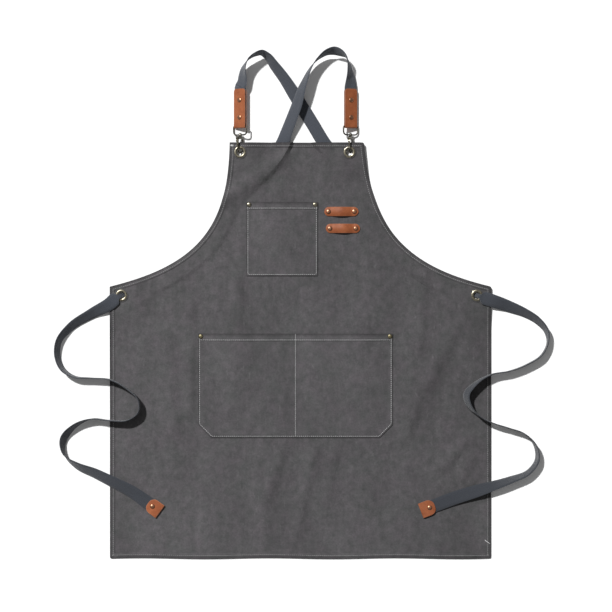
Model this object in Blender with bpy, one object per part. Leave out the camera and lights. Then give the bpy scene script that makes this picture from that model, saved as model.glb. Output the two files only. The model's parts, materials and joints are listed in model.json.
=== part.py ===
"""Bib apron of waxed canvas, lying face up: +X to the viewer's right, +Y towards the bib, +Z up.

The origin is on the back face, in the middle of the waist line. All sizes are in metres.
"""
import math

import bmesh
import bpy
from mathutils import Matrix, Vector
from mathutils.geometry import delaunay_2d_cdt

# Canvas body
PANEL_WIDTH = 0.680
BIB_WIDTH = 0.240
BIB_SHIFT = -0.0062
BIB_HEIGHT = 0.257
SKIRT_LENGTH = 0.485
CANVAS = 0.0011
HEM_WIDTH = 0.0080
HEM_THICKNESS = 0.0022
HEM_SLOPE = 0.0015
BIB_CORNER_RADIUS = 0.0085
CORNER_RADIUS = 0.0050
BOTTOM_WAVE = 0.0009
CLEARANCE = 0.0003

# Grommets
GROMMET_RADIUS = 0.0105
GROMMET_HOLE_RADIUS = 0.0060
GROMMET_WALL = 0.0006
GROMMET_FLANGE = 0.0007
BIB_INSET_LEFT = 0.0186
BIB_INSET_RIGHT = 0.0266
BIB_GROMMET_DROP = 0.0175
WAIST_INSET_LEFT = 0.0209
WAIST_INSET_RIGHT = 0.0255
WAIST_GROMMET_DROP = 0.0158
BIB_LIFT = 0.0070
WAIST_LIFT = 0.0048
LIFT_FLAT = 0.0210
LIFT_RUN = 0.0480

# Pockets
CHEST_WIDTH = 0.1273
CHEST_HEIGHT = 0.1320
CHEST_SIDE = -0.0328
CHEST_DROP = 0.1060
LOWER_WIDTH = 0.3470
LOWER_HEIGHT = 0.1856
LOWER_SIDE = -0.0091
LOWER_DROP = 0.0840
LOWER_CORNER = 0.0230
POCKET_HEM = 0.0125
POCKET_SEAM = 0.0098
CHEST_BULGE = 0.0075
LOWER_BULGE = 0.0085

# Leather loops beside the chest pocket
LOOP_LENGTH = 0.0610
LOOP_WIDTH = 0.0175
LEATHER = 0.0018
LOOP_ARCH = 0.0060
LOOP_END = 0.0075
LOOP_SIDE = 0.0729
LOOP_DROP = 0.1230
LOOP_PITCH = 0.0301
LOOP_STAGGER = 0.0027

# Webbing
STRAP_WIDTH = 0.0235
STRAP_THICKNESS = 0.0016
SHOULDER_REACH = 0.1680
TIE_SPREAD = 0.1260
TIE_DROP = 0.3910
GATHER_WIDTH = 0.0072
GATHER_THICKNESS = 0.0026
GATHER_RUN = 0.0130
LIFT_BAND = 0.0015
LIFT_FOOT = 0.0060

# Leather ends
TAB_LEATHER = 0.0016
TAB_LENGTH = 0.0670
TAB_WIDTH = 0.0234
TAB_ROUND = 0.0050
END_TAB_LENGTH = 0.0270
END_TAB_WIDTH = 0.0270
END_TAB_ROUND = 0.0110
TAB_LEAD = 0.0030

# Snap hooks
AXIS_HEIGHT = 0.0095
WIRE_RADIUS = 0.0014
HOOK_HALF_GAP = 0.0070
HOOK_REACH = 0.0197
SHOULDER_TO_GROMMET = 0.0257
NOSE_LENGTH = 0.0028
SHOULDER_THICKNESS = 0.0052
GATE_THICKNESS = 0.0026
PIN_RADIUS = 0.0008
SHANK_RADIUS = 0.0014
COLLAR_RADIUS = 0.0032
COLLAR_HEIGHT = 0.0032
EYE_LENGTH = 0.0152
EYE_TOP_ROUND = 0.0018
EYE_FOOT_ROUND = 0.0060
EYE_WIRE = 0.0014

# Rivets
RIVET_RADIUS = 0.0042
RIVET_DOME = 0.0016
RIVET_SHANK = 0.0013
RIVET_INSET = 0.0048

# Mesh steps
GRID_STEP = 0.048
EDGE_STEP = 0.042
ROUND_SIDES = 12
WIRE_SIDES = 8
RIVET_SIDES = 8
ROUTE_STEPS = 2

# How far each snap hook rolls out of the upright, how its strap leans, and how far to the right
# of its grommet it hangs
HOOKS = {
    "left": {"roll": math.radians(38), "strap_lean": 31.0, "offset": 0.0002},
    "right": {"roll": math.radians(20), "strap_lean": -23.0, "offset": 0.0020},
}

# Armhole curves, as shares of the width and height that each one spans:
# from the bib: across and down to its first handle; from the waist corner: in and up to its second
ARMHOLES = {
    "left": {"bib_in": 0.010, "bib_down": 0.603, "waist_in": 0.716, "waist_up": 0.148},
    "right": {"bib_in": 0.064, "bib_down": 0.598, "waist_in": 0.665, "waist_up": 0.145},
}

# Soft folds of the canvas. Ends as shares of the half width and of the bib or skirt,
# width and rise as shares of the bib width
FOLDS = [
    {"x0": -0.71, "y0": -0.17, "x1": -0.66, "y1": -0.52, "width": 0.090, "rise": 0.010},
    {"x0": 0.80, "y0": -0.17, "x1": 0.66, "y1": -0.36, "width": 0.085, "rise": 0.012},
    {"x0": 0.88, "y0": -0.62, "x1": 0.85, "y1": -0.70, "width": 0.060, "rise": 0.008},
    {"x0": -0.22, "y0": -0.74, "x1": -0.16, "y1": -0.94, "width": 0.080, "rise": 0.008},
    {"x0": 0.34, "y0": -0.70, "x1": 0.40, "y1": -0.92, "width": 0.085, "rise": 0.009},
]

# Strap routes. In each table a row is one section of the webbing, lean in degrees: 0 lies flat
# with its front up, 90 stands on edge with its right side up, as seen along the strap.
# Shoulder: across from the middle of the bib grommets as a share of their distance, up from the
# bib's edge as a share of the shoulder reach, lift of the lower edge as a share of the strap width
SHOULDER_ROUTES = {
    "left": [
        {"across": -0.478, "up": 0.624, "lean": 50, "lift": 0.13},
        {"across": -0.473, "up": 0.709, "lean": 60, "lift": 0.21},
        {"across": -0.456, "up": 0.799, "lean": 76, "lift": 0.42},
        {"across": -0.419, "up": 0.874, "lean": 90, "lift": 0.58},
        {"across": -0.360, "up": 0.923, "lean": 99, "lift": 0.55},
        {"across": -0.298, "up": 0.942, "lean": 108, "lift": 0.40},
        {"across": -0.250, "up": 0.909, "lean": 118, "lift": 0.27},
        {"across": -0.188, "up": 0.815, "lean": 134, "lift": 0.14},
        {"across": -0.094, "up": 0.672, "lean": 145, "lift": 0.05},
        {"across": -0.003, "up": 0.507, "lean": 160, "lift": 0.0},
        {"across": 0.054, "up": 0.401, "lean": 167, "lift": 0.0},
        {"across": 0.158, "up": 0.204, "lean": 166, "lift": 0.0},
        {"across": 0.266, "up": 0.0, "lean": 170, "lift": 0.0},
    ],
    "right": [
        {"across": 0.513, "up": 0.640, "lean": -50, "lift": 0.13},
        {"across": 0.504, "up": 0.741, "lean": -64, "lift": 0.21},
        {"across": 0.490, "up": 0.831, "lean": -79, "lift": 0.38},
        {"across": 0.469, "up": 0.892, "lean": -92, "lift": 0.51},
        {"across": 0.426, "up": 0.936, "lean": -112, "lift": 0.55},
        {"across": 0.366, "up": 0.961, "lean": -123, "lift": 0.51},
        {"across": 0.299, "up": 0.948, "lean": -112, "lift": 0.47},
        {"across": 0.231, "up": 0.898, "lean": -98, "lift": 0.40},
        {"across": 0.172, "up": 0.828, "lean": -86, "lift": 0.36},
        {"across": 0.129, "up": 0.748, "lean": -76, "lift": 0.35},
        {"across": 0.091, "up": 0.645, "lean": -64, "lift": 0.43},
        {"across": 0.055, "up": 0.533, "lean": -50, "lift": 0.49},
        {"across": 0.025, "up": 0.414, "lean": -38, "lift": 0.41},
        {"across": -0.021, "up": 0.273, "lean": -33, "lift": 0.24},
        {"across": -0.067, "up": 0.135, "lean": -27, "lift": 0.06},
        {"across": -0.111, "up": 0.0, "lean": -12, "lift": 0.0},
    ],
}

# Under the canvas: shares of the way from the bib's edge to the far waist grommet
HIDDEN_ROUTES = {
    "left": [
        {"across": 0.092, "down": 0.113, "lean": 178},
        {"across": 0.200, "down": 0.250, "lean": 180},
        {"across": 0.284, "down": 0.387, "lean": 180},
        {"across": 0.358, "down": 0.531, "lean": 180},
        {"across": 0.456, "down": 0.675, "lean": 180},
        {"across": 0.600, "down": 0.812, "lean": 180},
        {"across": 0.797, "down": 0.926, "lean": 180},
    ],
    "right": [
        {"across": 0.066, "down": 0.113, "lean": -2},
        {"across": 0.168, "down": 0.225, "lean": 0},
        {"across": 0.265, "down": 0.323, "lean": 0},
        {"across": 0.338, "down": 0.421, "lean": 0},
        {"across": 0.386, "down": 0.546, "lean": 0},
        {"across": 0.466, "down": 0.677, "lean": 0},
        {"across": 0.607, "down": 0.808, "lean": 0},
        {"across": 0.812, "down": 0.929, "lean": 0},
    ],
}

# Ties: out from the waist grommet as a share of the tie spread, down as a share of the tie drop,
# over as the share of the canvas edge that the strap lies on there
TIE_ROUTES = {
    "left": [
        {"out": 0.245, "down": 0.027, "lean": 168, "over": 1.2},
        {"out": 0.450, "down": 0.050, "lean": 150, "over": 0.1},
        {"out": 0.663, "down": 0.077, "lean": 130, "over": 0.0},
        {"out": 0.861, "down": 0.116, "lean": 118, "over": 0.0},
        {"out": 0.979, "down": 0.163, "lean": 106, "over": 0.0},
        {"out": 0.997, "down": 0.211, "lean": 92, "over": 0.0},
        {"out": 0.918, "down": 0.268, "lean": 90, "over": 0.0},
        {"out": 0.705, "down": 0.314, "lean": 90, "over": 0.0},
        {"out": 0.450, "down": 0.345, "lean": 90, "over": 0.2},
        {"out": 0.203, "down": 0.359, "lean": 90, "over": 1.1},
        {"out": -0.010, "down": 0.397, "lean": 100, "over": 1.0},
        {"out": -0.154, "down": 0.453, "lean": 115, "over": 1.0},
        {"out": -0.095, "down": 0.512, "lean": 105, "over": 1.0},
        {"out": 0.068, "down": 0.557, "lean": 90, "over": 1.0},
        {"out": 0.217, "down": 0.580, "lean": 90, "over": 1.1},
        {"out": 0.450, "down": 0.604, "lean": 90, "over": 0.1},
        {"out": 0.691, "down": 0.634, "lean": 90, "over": 0.0},
        {"out": 0.836, "down": 0.695, "lean": 100, "over": 0.0},
        {"out": 0.847, "down": 0.750, "lean": 104, "over": 0.0},
        {"out": 0.741, "down": 0.800, "lean": 106, "over": 0.1},
        {"out": 0.465, "down": 0.840, "lean": 118, "over": 0.8},
        {"out": 0.218, "down": 0.867, "lean": 133, "over": 1.2},
        {"out": -0.059, "down": 0.896, "lean": 160, "over": 1.0},
        {"out": -0.314, "down": 0.923, "lean": 172, "over": 1.0},
        {"out": -0.575, "down": 0.955, "lean": 180, "over": 1.0},
    ],
    "right": [
        {"out": 0.159, "down": 0.037, "lean": 12, "over": 1.2},
        {"out": 0.409, "down": 0.081, "lean": 38, "over": 0.1},
        {"out": 0.714, "down": 0.143, "lean": 54, "over": 0.0},
        {"out": 0.884, "down": 0.210, "lean": 68, "over": 0.0},
        {"out": 0.902, "down": 0.275, "lean": 70, "over": 0.0},
        {"out": 0.824, "down": 0.337, "lean": 76, "over": 0.0},
        {"out": 0.683, "down": 0.368, "lean": 84, "over": 0.0},
        {"out": 0.435, "down": 0.376, "lean": 90, "over": 0.2},
        {"out": 0.159, "down": 0.383, "lean": 90, "over": 1.1},
        {"out": -0.089, "down": 0.426, "lean": 90, "over": 1.0},
        {"out": -0.249, "down": 0.480, "lean": 90, "over": 1.0},
        {"out": -0.244, "down": 0.532, "lean": 90, "over": 1.0},
        {"out": -0.110, "down": 0.566, "lean": 90, "over": 1.0},
        {"out": 0.159, "down": 0.569, "lean": 90, "over": 1.1},
        {"out": 0.428, "down": 0.562, "lean": 88, "over": 0.2},
        {"out": 0.661, "down": 0.595, "lean": 72, "over": 0.0},
        {"out": 0.817, "down": 0.656, "lean": 62, "over": 0.0},
        {"out": 0.810, "down": 0.722, "lean": 90, "over": 0.0},
        {"out": 0.633, "down": 0.773, "lean": 122, "over": 0.0},
        {"out": 0.371, "down": 0.809, "lean": 140, "over": 0.7},
        {"out": 0.137, "down": 0.846, "lean": 149, "over": 1.2},
        {"out": -0.166, "down": 0.898, "lean": 164, "over": 1.0},
        {"out": -0.357, "down": 0.942, "lean": 180, "over": 1.0},
    ],
}

COLOURS = {
    "canvas": {"colour": (0.100, 0.095, 0.100), "roughness": 0.85, "metallic": 0.0},
    "webbing": {"colour": (0.075, 0.085, 0.105), "roughness": 0.90, "metallic": 0.0},
    "leather": {"colour": (0.380, 0.125, 0.055), "roughness": 0.55, "metallic": 0.0},
    "brass": {"colour": (0.230, 0.200, 0.130), "roughness": 0.35, "metallic": 1.0},
    "copper": {"colour": (0.420, 0.220, 0.110), "roughness": 0.35, "metallic": 1.0},
    "gunmetal": {"colour": (0.060, 0.060, 0.055), "roughness": 0.40, "metallic": 1.0},
}

# Places worked out from the sizes
HALF_WIDTH = PANEL_WIDTH / 2
BIB_LEFT = BIB_SHIFT - BIB_WIDTH / 2
BIB_RIGHT = BIB_SHIFT + BIB_WIDTH / 2
GROMMETS = {
    "bib_left": Vector((BIB_LEFT + BIB_INSET_LEFT, BIB_HEIGHT - BIB_GROMMET_DROP)),
    "bib_right": Vector((BIB_RIGHT - BIB_INSET_RIGHT, BIB_HEIGHT - BIB_GROMMET_DROP)),
    "waist_left": Vector((-HALF_WIDTH + WAIST_INSET_LEFT, -WAIST_GROMMET_DROP)),
    "waist_right": Vector((HALF_WIDTH - WAIST_INSET_RIGHT, -WAIST_GROMMET_DROP)),
}
GROMMET_LIFTS = {
    "bib_left": BIB_LIFT,
    "bib_right": BIB_LIFT,
    "waist_left": WAIST_LIFT,
    "waist_right": WAIST_LIFT,
}
BARREL_RADIUS = GROMMET_HOLE_RADIUS + GROMMET_WALL
EYELET_RADIUS = BARREL_RADIUS + CLEARANCE
PATCH_RADIUS = GROMMET_RADIUS + 0.001
PLY_HALF_GAP = STRAP_THICKNESS / 2 + CLEARANCE
RIVET_HOLE = RIVET_SHANK + CLEARANCE
EDGE_TOP = HEM_THICKNESS + CLEARANCE
CHEST_TOP_LEFT = Vector((CHEST_SIDE - CHEST_WIDTH / 2, BIB_HEIGHT - CHEST_DROP))
LOWER_TOP_LEFT = Vector((LOWER_SIDE - LOWER_WIDTH / 2, -LOWER_DROP))
OTHER_SIDE = {"left": "right", "right": "left"}


def clear_scene():
    for existing in list(bpy.data.objects):
        bpy.data.objects.remove(existing, do_unlink=True)


def make_material(name, look):
    material = bpy.data.materials.new(name)
    material.use_nodes = True
    shader = material.node_tree.nodes["Principled BSDF"]
    shader.inputs["Base Color"].default_value = (*look["colour"], 1.0)
    shader.inputs["Roughness"].default_value = look["roughness"]
    shader.inputs["Metallic"].default_value = look["metallic"]
    return material


def add_object(name, bm, look, frame=None, smooth_angle=40):
    """Turns a bmesh into a named object with its own material, placed by its frame."""
    bmesh.ops.remove_doubles(bm, verts=bm.verts, dist=1e-6)
    mesh = bpy.data.meshes.new(name)
    bm.to_mesh(mesh)
    bm.free()
    mesh.shade_smooth()
    mesh.set_sharp_from_angle(angle=math.radians(smooth_angle))
    mesh.materials.append(make_material(name + "_finish", COLOURS[look]))
    created = bpy.data.objects.new(name, mesh)
    bpy.context.scene.collection.objects.link(created)
    if frame is not None:
        created.matrix_world = frame
    return created


def boolean(target, tool_mesh, frame, operation, label):
    """Joins or cuts a tool shape, kept as a hidden wire guide, into the target."""
    tool = add_object(target.name + "_" + label, tool_mesh, "gunmetal", frame)
    tool.hide_render = True
    tool.display_type = "WIRE"
    step = target.modifiers.new(label, "BOOLEAN")
    step.operation = operation
    step.solver = "EXACT"
    step.object = tool


def rounded_step(value):
    value = max(0.0, min(1.0, value))
    return value * value * (3 - 2 * value)


def cubic(p0, p1, p2, p3, t):
    return (1 - t) ** 3 * p0 + 3 * (1 - t) ** 2 * t * p1 + 3 * (1 - t) * t ** 2 * p2 + t ** 3 * p3


def distance_to_line(point, start, end):
    """Distance from a point to a line piece, and the share of the piece where it is nearest."""
    run = end - start
    share = max(0.0, min(1.0, (point - start).dot(run) / run.length_squared))
    return (point - (start + run * share)).length, share


def distance_to_outline(point, outline):
    return min(distance_to_line(point, a, b)[0] for a, b in zip(outline, outline[1:] + outline[:1]))


def inside(point, outline):
    hit = False
    for a, b in zip(outline, outline[1:] + outline[:1]):
        if (a.y > point.y) != (b.y > point.y):
            if point.x < a.x + (point.y - a.y) / (b.y - a.y) * (b.x - a.x):
                hit = not hit
    return hit


def inset(outline, amount):
    """The closed outline moved inward, with mitred corners."""
    moved = []
    for i, corner in enumerate(outline):
        into = (corner - outline[i - 1]).normalized()
        out = (outline[(i + 1) % len(outline)] - corner).normalized()
        normal = Vector((-into.y - out.y, into.x + out.x)).normalized()
        along = normal.dot(Vector((-into.y, into.x)))
        moved.append(corner + normal * amount / along)
    return moved


def circle(centre, radius, sides):
    turn = 2 * math.pi / sides
    return [centre + Vector((math.cos(i * turn), math.sin(i * turn))) * radius for i in range(sides)]


def corner_arc(corner, towards_a, towards_b, radius, steps=3):
    start = corner + towards_a * radius
    end = corner + towards_b * radius
    return [cubic(start, corner, corner, end, i / steps) for i in range(steps + 1)]


def straight(start, end, step):
    count = max(1, round((end - start).length / step))
    return [start.lerp(end, i / count) for i in range(1, count)]


def armhole(side):
    """Points of one armhole, from the bib down to the waist corner."""
    sign = -1 if side == "left" else 1
    bib_x = BIB_LEFT if side == "left" else BIB_RIGHT
    top_drop = 0.0 if side == "left" else BIB_CORNER_RADIUS
    top = Vector((bib_x, BIB_HEIGHT - top_drop))
    corner = Vector((sign * HALF_WIDTH, 0.0))
    shares = ARMHOLES[side]
    width = abs(corner.x - top.x)
    first = top + Vector((sign * shares["bib_in"] * width, -shares["bib_down"] * top.y))
    second = corner + Vector((-sign * shares["waist_in"] * width, shares["waist_up"] * top.y))
    count = round(1.25 * (corner - top).length / EDGE_STEP)
    return [cubic(top, first, second, corner, i / count) for i in range(count + 1)]


def panel_outline():
    """The outline of the canvas, anticlockwise from its lower left corner."""
    left, right = Vector((-1, 0)), Vector((1, 0))
    up, down = Vector((0, 1)), Vector((0, -1))
    low_left = Vector((-HALF_WIDTH, -SKIRT_LENGTH))
    low_right = Vector((HALF_WIDTH, -SKIRT_LENGTH))
    bib_corner = Vector((BIB_RIGHT, BIB_HEIGHT))
    points = corner_arc(low_left, up, right, CORNER_RADIUS)
    for point in straight(points[-1], low_right + left * CORNER_RADIUS, EDGE_STEP):
        wave = math.sin(3 * math.pi * (point.x / HALF_WIDTH + 1))
        points.append(point + up * BOTTOM_WAVE * wave)
    points += corner_arc(low_right, left, up, CORNER_RADIUS)
    rising = armhole("right")[::-1]
    slope = (rising[1] - rising[0]).normalized()
    waist = corner_arc(rising[0], down, slope, CORNER_RADIUS)
    points += straight(points[-1], waist[0], EDGE_STEP) + waist + rising[1:-1]
    points += corner_arc(bib_corner, down, left, BIB_CORNER_RADIUS)
    falling = armhole("left")
    points += straight(points[-1], falling[0], EDGE_STEP) + falling
    points += straight(points[-1], low_left + up * CORNER_RADIUS, EDGE_STEP)
    return points


def spline(rows, steps):
    """A smooth curve through rows of equal keys, eased by the distance between its rows."""
    spans = []
    for a, b in zip(rows, rows[1:]):
        spans.append(math.dist((a["x"], a["y"], a["base"]), (b["x"], b["y"], b["base"])))
    slopes = []
    for i in range(len(rows)):
        slope = {}
        for key in rows[0]:
            rates = [(rows[j + 1][key] - rows[j][key]) / spans[j] for j in (i - 1, i) if 0 <= j < len(spans)]
            weights = [spans[2 * i - 1 - j] for j in (i - 1, i)] if len(rates) == 2 else [1.0]
            slope[key] = sum(r * w for r, w in zip(rates, weights)) / sum(weights)
        slopes.append(slope)
    result = []
    for i, span in enumerate(spans):
        for step in range(steps):
            t = step / steps
            mixed = {}
            for key in rows[i]:
                ease = (2 * t ** 3 - 3 * t ** 2 + 1) * rows[i][key]
                ease += (t ** 3 - 2 * t ** 2 + t) * slopes[i][key] * span
                ease += (3 * t ** 2 - 2 * t ** 3) * rows[i + 1][key]
                ease += (t ** 3 - t ** 2) * slopes[i + 1][key] * span
                mixed[key] = ease
            result.append(mixed)
    result.append(dict(rows[-1]))
    return result


def hook_axis(side):
    """The middle of the hook's shoulder."""
    place = GROMMETS["bib_" + side]
    return Vector((place.x + HOOKS[side]["offset"], place.y + SHOULDER_TO_GROMMET, AXIS_HEIGHT))


def hook_frame(side):
    """x from the spine to the gate, y up the hook, z across it, at the hook's shoulder."""
    roll = HOOKS[side]["roll"]
    across = Vector((-math.sin(roll), 0.0, math.cos(roll)))
    along = Vector((0.0, 1.0, 0.0))
    return frame_from(across, along, hook_axis(side))


def frame_from(x_axis, y_axis, origin):
    z_axis = x_axis.cross(y_axis)
    columns = Matrix((x_axis, y_axis, z_axis)).transposed()
    return Matrix.Translation(origin) @ columns.to_4x4()


SHOULDER_TOP = 0.0030
COLLAR_BASE = SHOULDER_TOP + CLEARANCE
EYE_BAR = COLLAR_BASE + COLLAR_HEIGHT / 2 + EYE_LENGTH


def tab_frame(side):
    """x across the leather, y up the strap, z out of its front, at the bar of the strap eye."""
    lean = math.radians(HOOKS[side]["strap_lean"])
    across = Vector((math.cos(lean), 0.0, math.sin(lean)))
    along = Vector((0.0, 1.0, 0.0))
    return frame_from(across, along, hook_axis(side) + along * EYE_BAR)


def row_at(x, y, lean, base):
    return {"x": x, "y": y, "base": base, "lean": lean}


def bib_pass(side):
    """Where the strap of one hook goes under the bib's upper edge."""
    last = SHOULDER_ROUTES[side][-1]
    left = GROMMETS["bib_left"]
    right = GROMMETS["bib_right"]
    middle = (left.x + right.x) / 2
    return Vector((middle + last["across"] * (right.x - left.x), BIB_HEIGHT))


def shoulder_rows(side):
    """From the top of the leather tab to the bib's edge."""
    start = tab_frame(side) @ Vector((0.0, TAB_LENGTH + TAB_LEAD, 0.0))
    lean = HOOKS[side]["strap_lean"]
    rows = [row_at(start.x, start.y, lean, start.z - half_height(lean, STRAP_WIDTH, STRAP_THICKNESS))]
    left = GROMMETS["bib_left"]
    right = GROMMETS["bib_right"]
    for row in SHOULDER_ROUTES[side]:
        x = (left.x + right.x) / 2 + row["across"] * (right.x - left.x)
        y = BIB_HEIGHT + row["up"] * SHOULDER_REACH
        rows.append(row_at(x, y, row["lean"], CLEARANCE + row["lift"] * STRAP_WIDTH))
    return rows


def hidden_rows(side):
    """From the bib's edge to just short of the far waist grommet, flat on the floor."""
    start = bib_pass(side)
    end = GROMMETS["waist_" + OTHER_SIDE[side]]
    rows = []
    for row in HIDDEN_ROUTES[side]:
        x = start.x + row["across"] * (end.x - start.x)
        y = start.y + row["down"] * (end.y - start.y)
        rows.append(row_at(x, y, row["lean"], CLEARANCE))
    return rows


def grommet_rows(side, before, after, flat):
    """Up through the waist grommet: under its back flange, through the hole, over its front."""
    centre = GROMMETS["waist_" + OTHER_SIDE[side]]
    heading = (after - before).normalized()
    back = WAIST_LIFT - CLEARANCE - GROMMET_FLANGE
    front = WAIST_LIFT + HEM_THICKNESS + CLEARANCE + GROMMET_FLANGE
    half = GATHER_THICKNESS / 2
    middle = (back + front) / 2
    reach = (front - back) / 2 + CLEARANCE + 1.15 * half
    places = []
    for along, climb in ((-1.55, -1.06), (-0.76, -1.0), (0.0, 0.0), (0.76, 1.0), (1.55, 1.06)):
        place = centre + heading * along * GROMMET_HOLE_RADIUS
        places.append(row_at(place.x, place.y, flat, middle + climb * reach - half))
    return places


def half_height(lean, width, thickness):
    """Half the height that a leaning section takes up."""
    tilt = math.radians(lean)
    return abs(math.sin(tilt)) * width / 2 + abs(math.cos(tilt)) * thickness / 2


def tie_rows(side):
    """From the waist grommet to the leather end, free on the floor and on the canvas."""
    far = OTHER_SIDE[side]
    sign = -1 if far == "left" else 1
    centre = GROMMETS["waist_" + far]
    rows = []
    for row in TIE_ROUTES[side]:
        x = centre.x + sign * row["out"] * TIE_SPREAD
        y = centre.y - row["down"] * TIE_DROP
        canvas = HEM_THICKNESS + edge_height(Vector((x, y)))
        rows.append(row_at(x, y, row["lean"], CLEARANCE + row["over"] * canvas))
    rows[-1]["base"] = CANVAS + 2 * CLEARANCE + TAB_LEATHER
    return rows


def edge_height(point):
    """How far the canvas is lifted at a place near a grommet."""
    return max(grommet_lift(point, name) for name in GROMMETS)


def grommet_lift(point, name):
    away = (point - GROMMETS[name]).length - LIFT_FLAT
    return GROMMET_LIFTS[name] * (1 - rounded_step(away / LIFT_RUN))


def section(centre, lean, tangent, width=STRAP_WIDTH, thickness=STRAP_THICKNESS):
    """One cross section: centre, the direction across the webbing and the one out of its front."""
    flat = Vector((tangent.x, tangent.y, 0.0)).normalized()
    right = Vector((flat.y, -flat.x, 0.0))
    tilt = math.radians(lean)
    across = right * math.cos(tilt) + Vector((0, 0, 1)) * math.sin(tilt)
    across = (across - tangent * across.dot(tangent)).normalized()
    return {
        "centre": centre,
        "across": across,
        "front": across.cross(tangent).normalized(),
        "half_width": width / 2,
        "half_thickness": thickness / 2,
    }


def gathered(share):
    """Width and thickness of the webbing, from bunched in a grommet (0) to spread flat (1)."""
    width = GATHER_WIDTH + (STRAP_WIDTH - GATHER_WIDTH) * share
    return width, GATHER_THICKNESS + (STRAP_THICKNESS - GATHER_THICKNESS) * share


def strap_route(side):
    """All sections of one strap, from inside its leather tab to inside its leather end."""
    hole = GROMMETS["waist_" + OTHER_SIDE[side]]
    shoulder = shoulder_rows(side)
    hidden = hidden_rows(side)
    ties = tie_rows(side)
    before = Vector((hidden[-1]["x"], hidden[-1]["y"]))
    after = Vector((ties[1]["x"], ties[1]["y"]))
    through = grommet_rows(side, before, after, hidden[-1]["lean"])
    rows = spline(shoulder + hidden + through + ties, ROUTE_STEPS)
    points = []
    sizes = []
    for i, row in enumerate(rows):
        away = (Vector((row["x"], row["y"])) - hole).length - GROMMET_HOLE_RADIUS
        past_bib = i > ROUTE_STEPS * len(shoulder)
        size = gathered(rounded_step(away / GATHER_RUN) if past_bib else 1.0)
        base = max(row["base"], CLEARANCE)
        points.append(Vector((row["x"], row["y"], base + half_height(row["lean"], *size))))
        sizes.append(size)
    up_tab = Vector((0.0, 1.0, 0.0))
    result = []
    lean = HOOKS[side]["strap_lean"]
    for reach in (EYE_WIRE + 0.0030, TAB_LENGTH / 2):
        result.append(section(tab_frame(side) @ Vector((0.0, reach, 0.0)), lean, up_tab))
    for i, row in enumerate(rows):
        tangent = (points[min(i + 1, len(rows) - 1)] - points[max(i - 1, 0)]).normalized()
        if i == 0:
            tangent = up_tab
        if i == len(rows) - 1:
            tangent = Vector((tangent.x, tangent.y, 0.0)).normalized()
        result.append(section(points[i], row["lean"], tangent, *sizes[i]))
    reach = TAB_LEAD + END_TAB_LENGTH - PLY_HALF_GAP - TAB_LEATHER - CLEARANCE
    for share in (0.5, 1.0):
        result.append(section(points[-1] + tangent * reach * share, rows[-1]["lean"], tangent))
    return result


def hidden_sections(side):
    """The sections that lie under the canvas, with the height of their upper side."""
    hole = GROMMETS["waist_" + OTHER_SIDE[side]]
    found = []
    started = False
    for cut in STRAPS[side][len(SHOULDER_ROUTES[side]):]:
        centre = cut["centre"]
        started = started or centre.y < BIB_HEIGHT + STRAP_WIDTH / 2
        if not started:
            continue
        if (centre.xy - hole).length < GROMMET_RADIUS:
            break
        top = centre.z + abs(cut["across"].z) * cut["half_width"]
        top += abs(cut["front"].z) * cut["half_thickness"]
        found.append({"place": centre.xy, "top": top + 2 * CLEARANCE})
    return found


def strap_lift(point, side):
    """How far the strap below lifts the canvas: flat over the webbing, sloping off beside it."""
    rows = HIDDEN[side]
    best = None
    for a, b in zip(rows, rows[1:]):
        away, share = distance_to_line(point, a["place"], b["place"])
        if best is None or away < best[0]:
            best = (away, a["top"] + (b["top"] - a["top"]) * share)
    away, top = best
    beyond = away - STRAP_WIDTH / 2 - LIFT_BAND
    return top * (1 - max(0.0, min(1.0, beyond / LIFT_FOOT)))


def fold_rise(point):
    """Soft ridges where the canvas doesn't lie quite flat."""
    height = 0.0
    for fold in FOLDS:
        ends = []
        for key in ("0", "1"):
            up = fold["y" + key]
            reach = BIB_HEIGHT if up > 0 else SKIRT_LENGTH
            ends.append(Vector((fold["x" + key] * HALF_WIDTH, up * reach)))
        away, share = distance_to_line(point, ends[0], ends[1])
        half = fold["width"] * BIB_WIDTH
        if away < half:
            height += fold["rise"] * BIB_WIDTH * (1 - (away / half) ** 2) ** 2
    return height


def drape(point):
    """Height of the canvas's back face above the floor."""
    straps = max(strap_lift(point, "left"), strap_lift(point, "right"))
    return max(straps, edge_height(point), fold_rise(point))


def band_lines(side):
    """Lines beside a hidden strap where the lifted canvas bends."""
    places = [row["place"] for row in HIDDEN[side]]
    lines = []
    for offset in (STRAP_WIDTH / 2 + LIFT_BAND, STRAP_WIDTH / 2 + LIFT_BAND + LIFT_FOOT):
        for sign in (-1, 1):
            line = []
            for i, place in enumerate(places[::2]):
                j = 2 * i
                run = places[min(j + 1, len(places) - 1)] - places[max(j - 1, 0)]
                normal = Vector((-run.y, run.x)).normalized()
                moved = place + normal * sign * offset
                line.append(moved)
            lines.append(line)
    return lines


def canvas_thickness(point, outline):
    if distance_to_outline(point, outline) < HEM_WIDTH + HEM_SLOPE / 2:
        return HEM_THICKNESS
    if any((point - centre).length < PATCH_RADIUS + HEM_SLOPE / 2 for centre in GROMMETS.values()):
        return HEM_THICKNESS
    return CANVAS


def rivet_places():
    """Rivets that go through the canvas, by name."""
    places = {}
    right = Vector((1, 0))
    down = Vector((0, -1))
    for pocket, corner, width in (
        ("chest_pocket", CHEST_TOP_LEFT, CHEST_WIDTH),
        ("lower_pocket", LOWER_TOP_LEFT, LOWER_WIDTH),
    ):
        places[pocket + "_rivet_left"] = corner + (right + down) * RIVET_INSET
        places[pocket + "_rivet_right"] = corner + right * (width - RIVET_INSET) + down * RIVET_INSET
    for name, centre in loop_centres().items():
        reach = right * (LOOP_LENGTH / 2 - LOOP_END)
        places[name + "_rivet_left"] = centre - reach
        places[name + "_rivet_right"] = centre + reach
    return places


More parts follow.
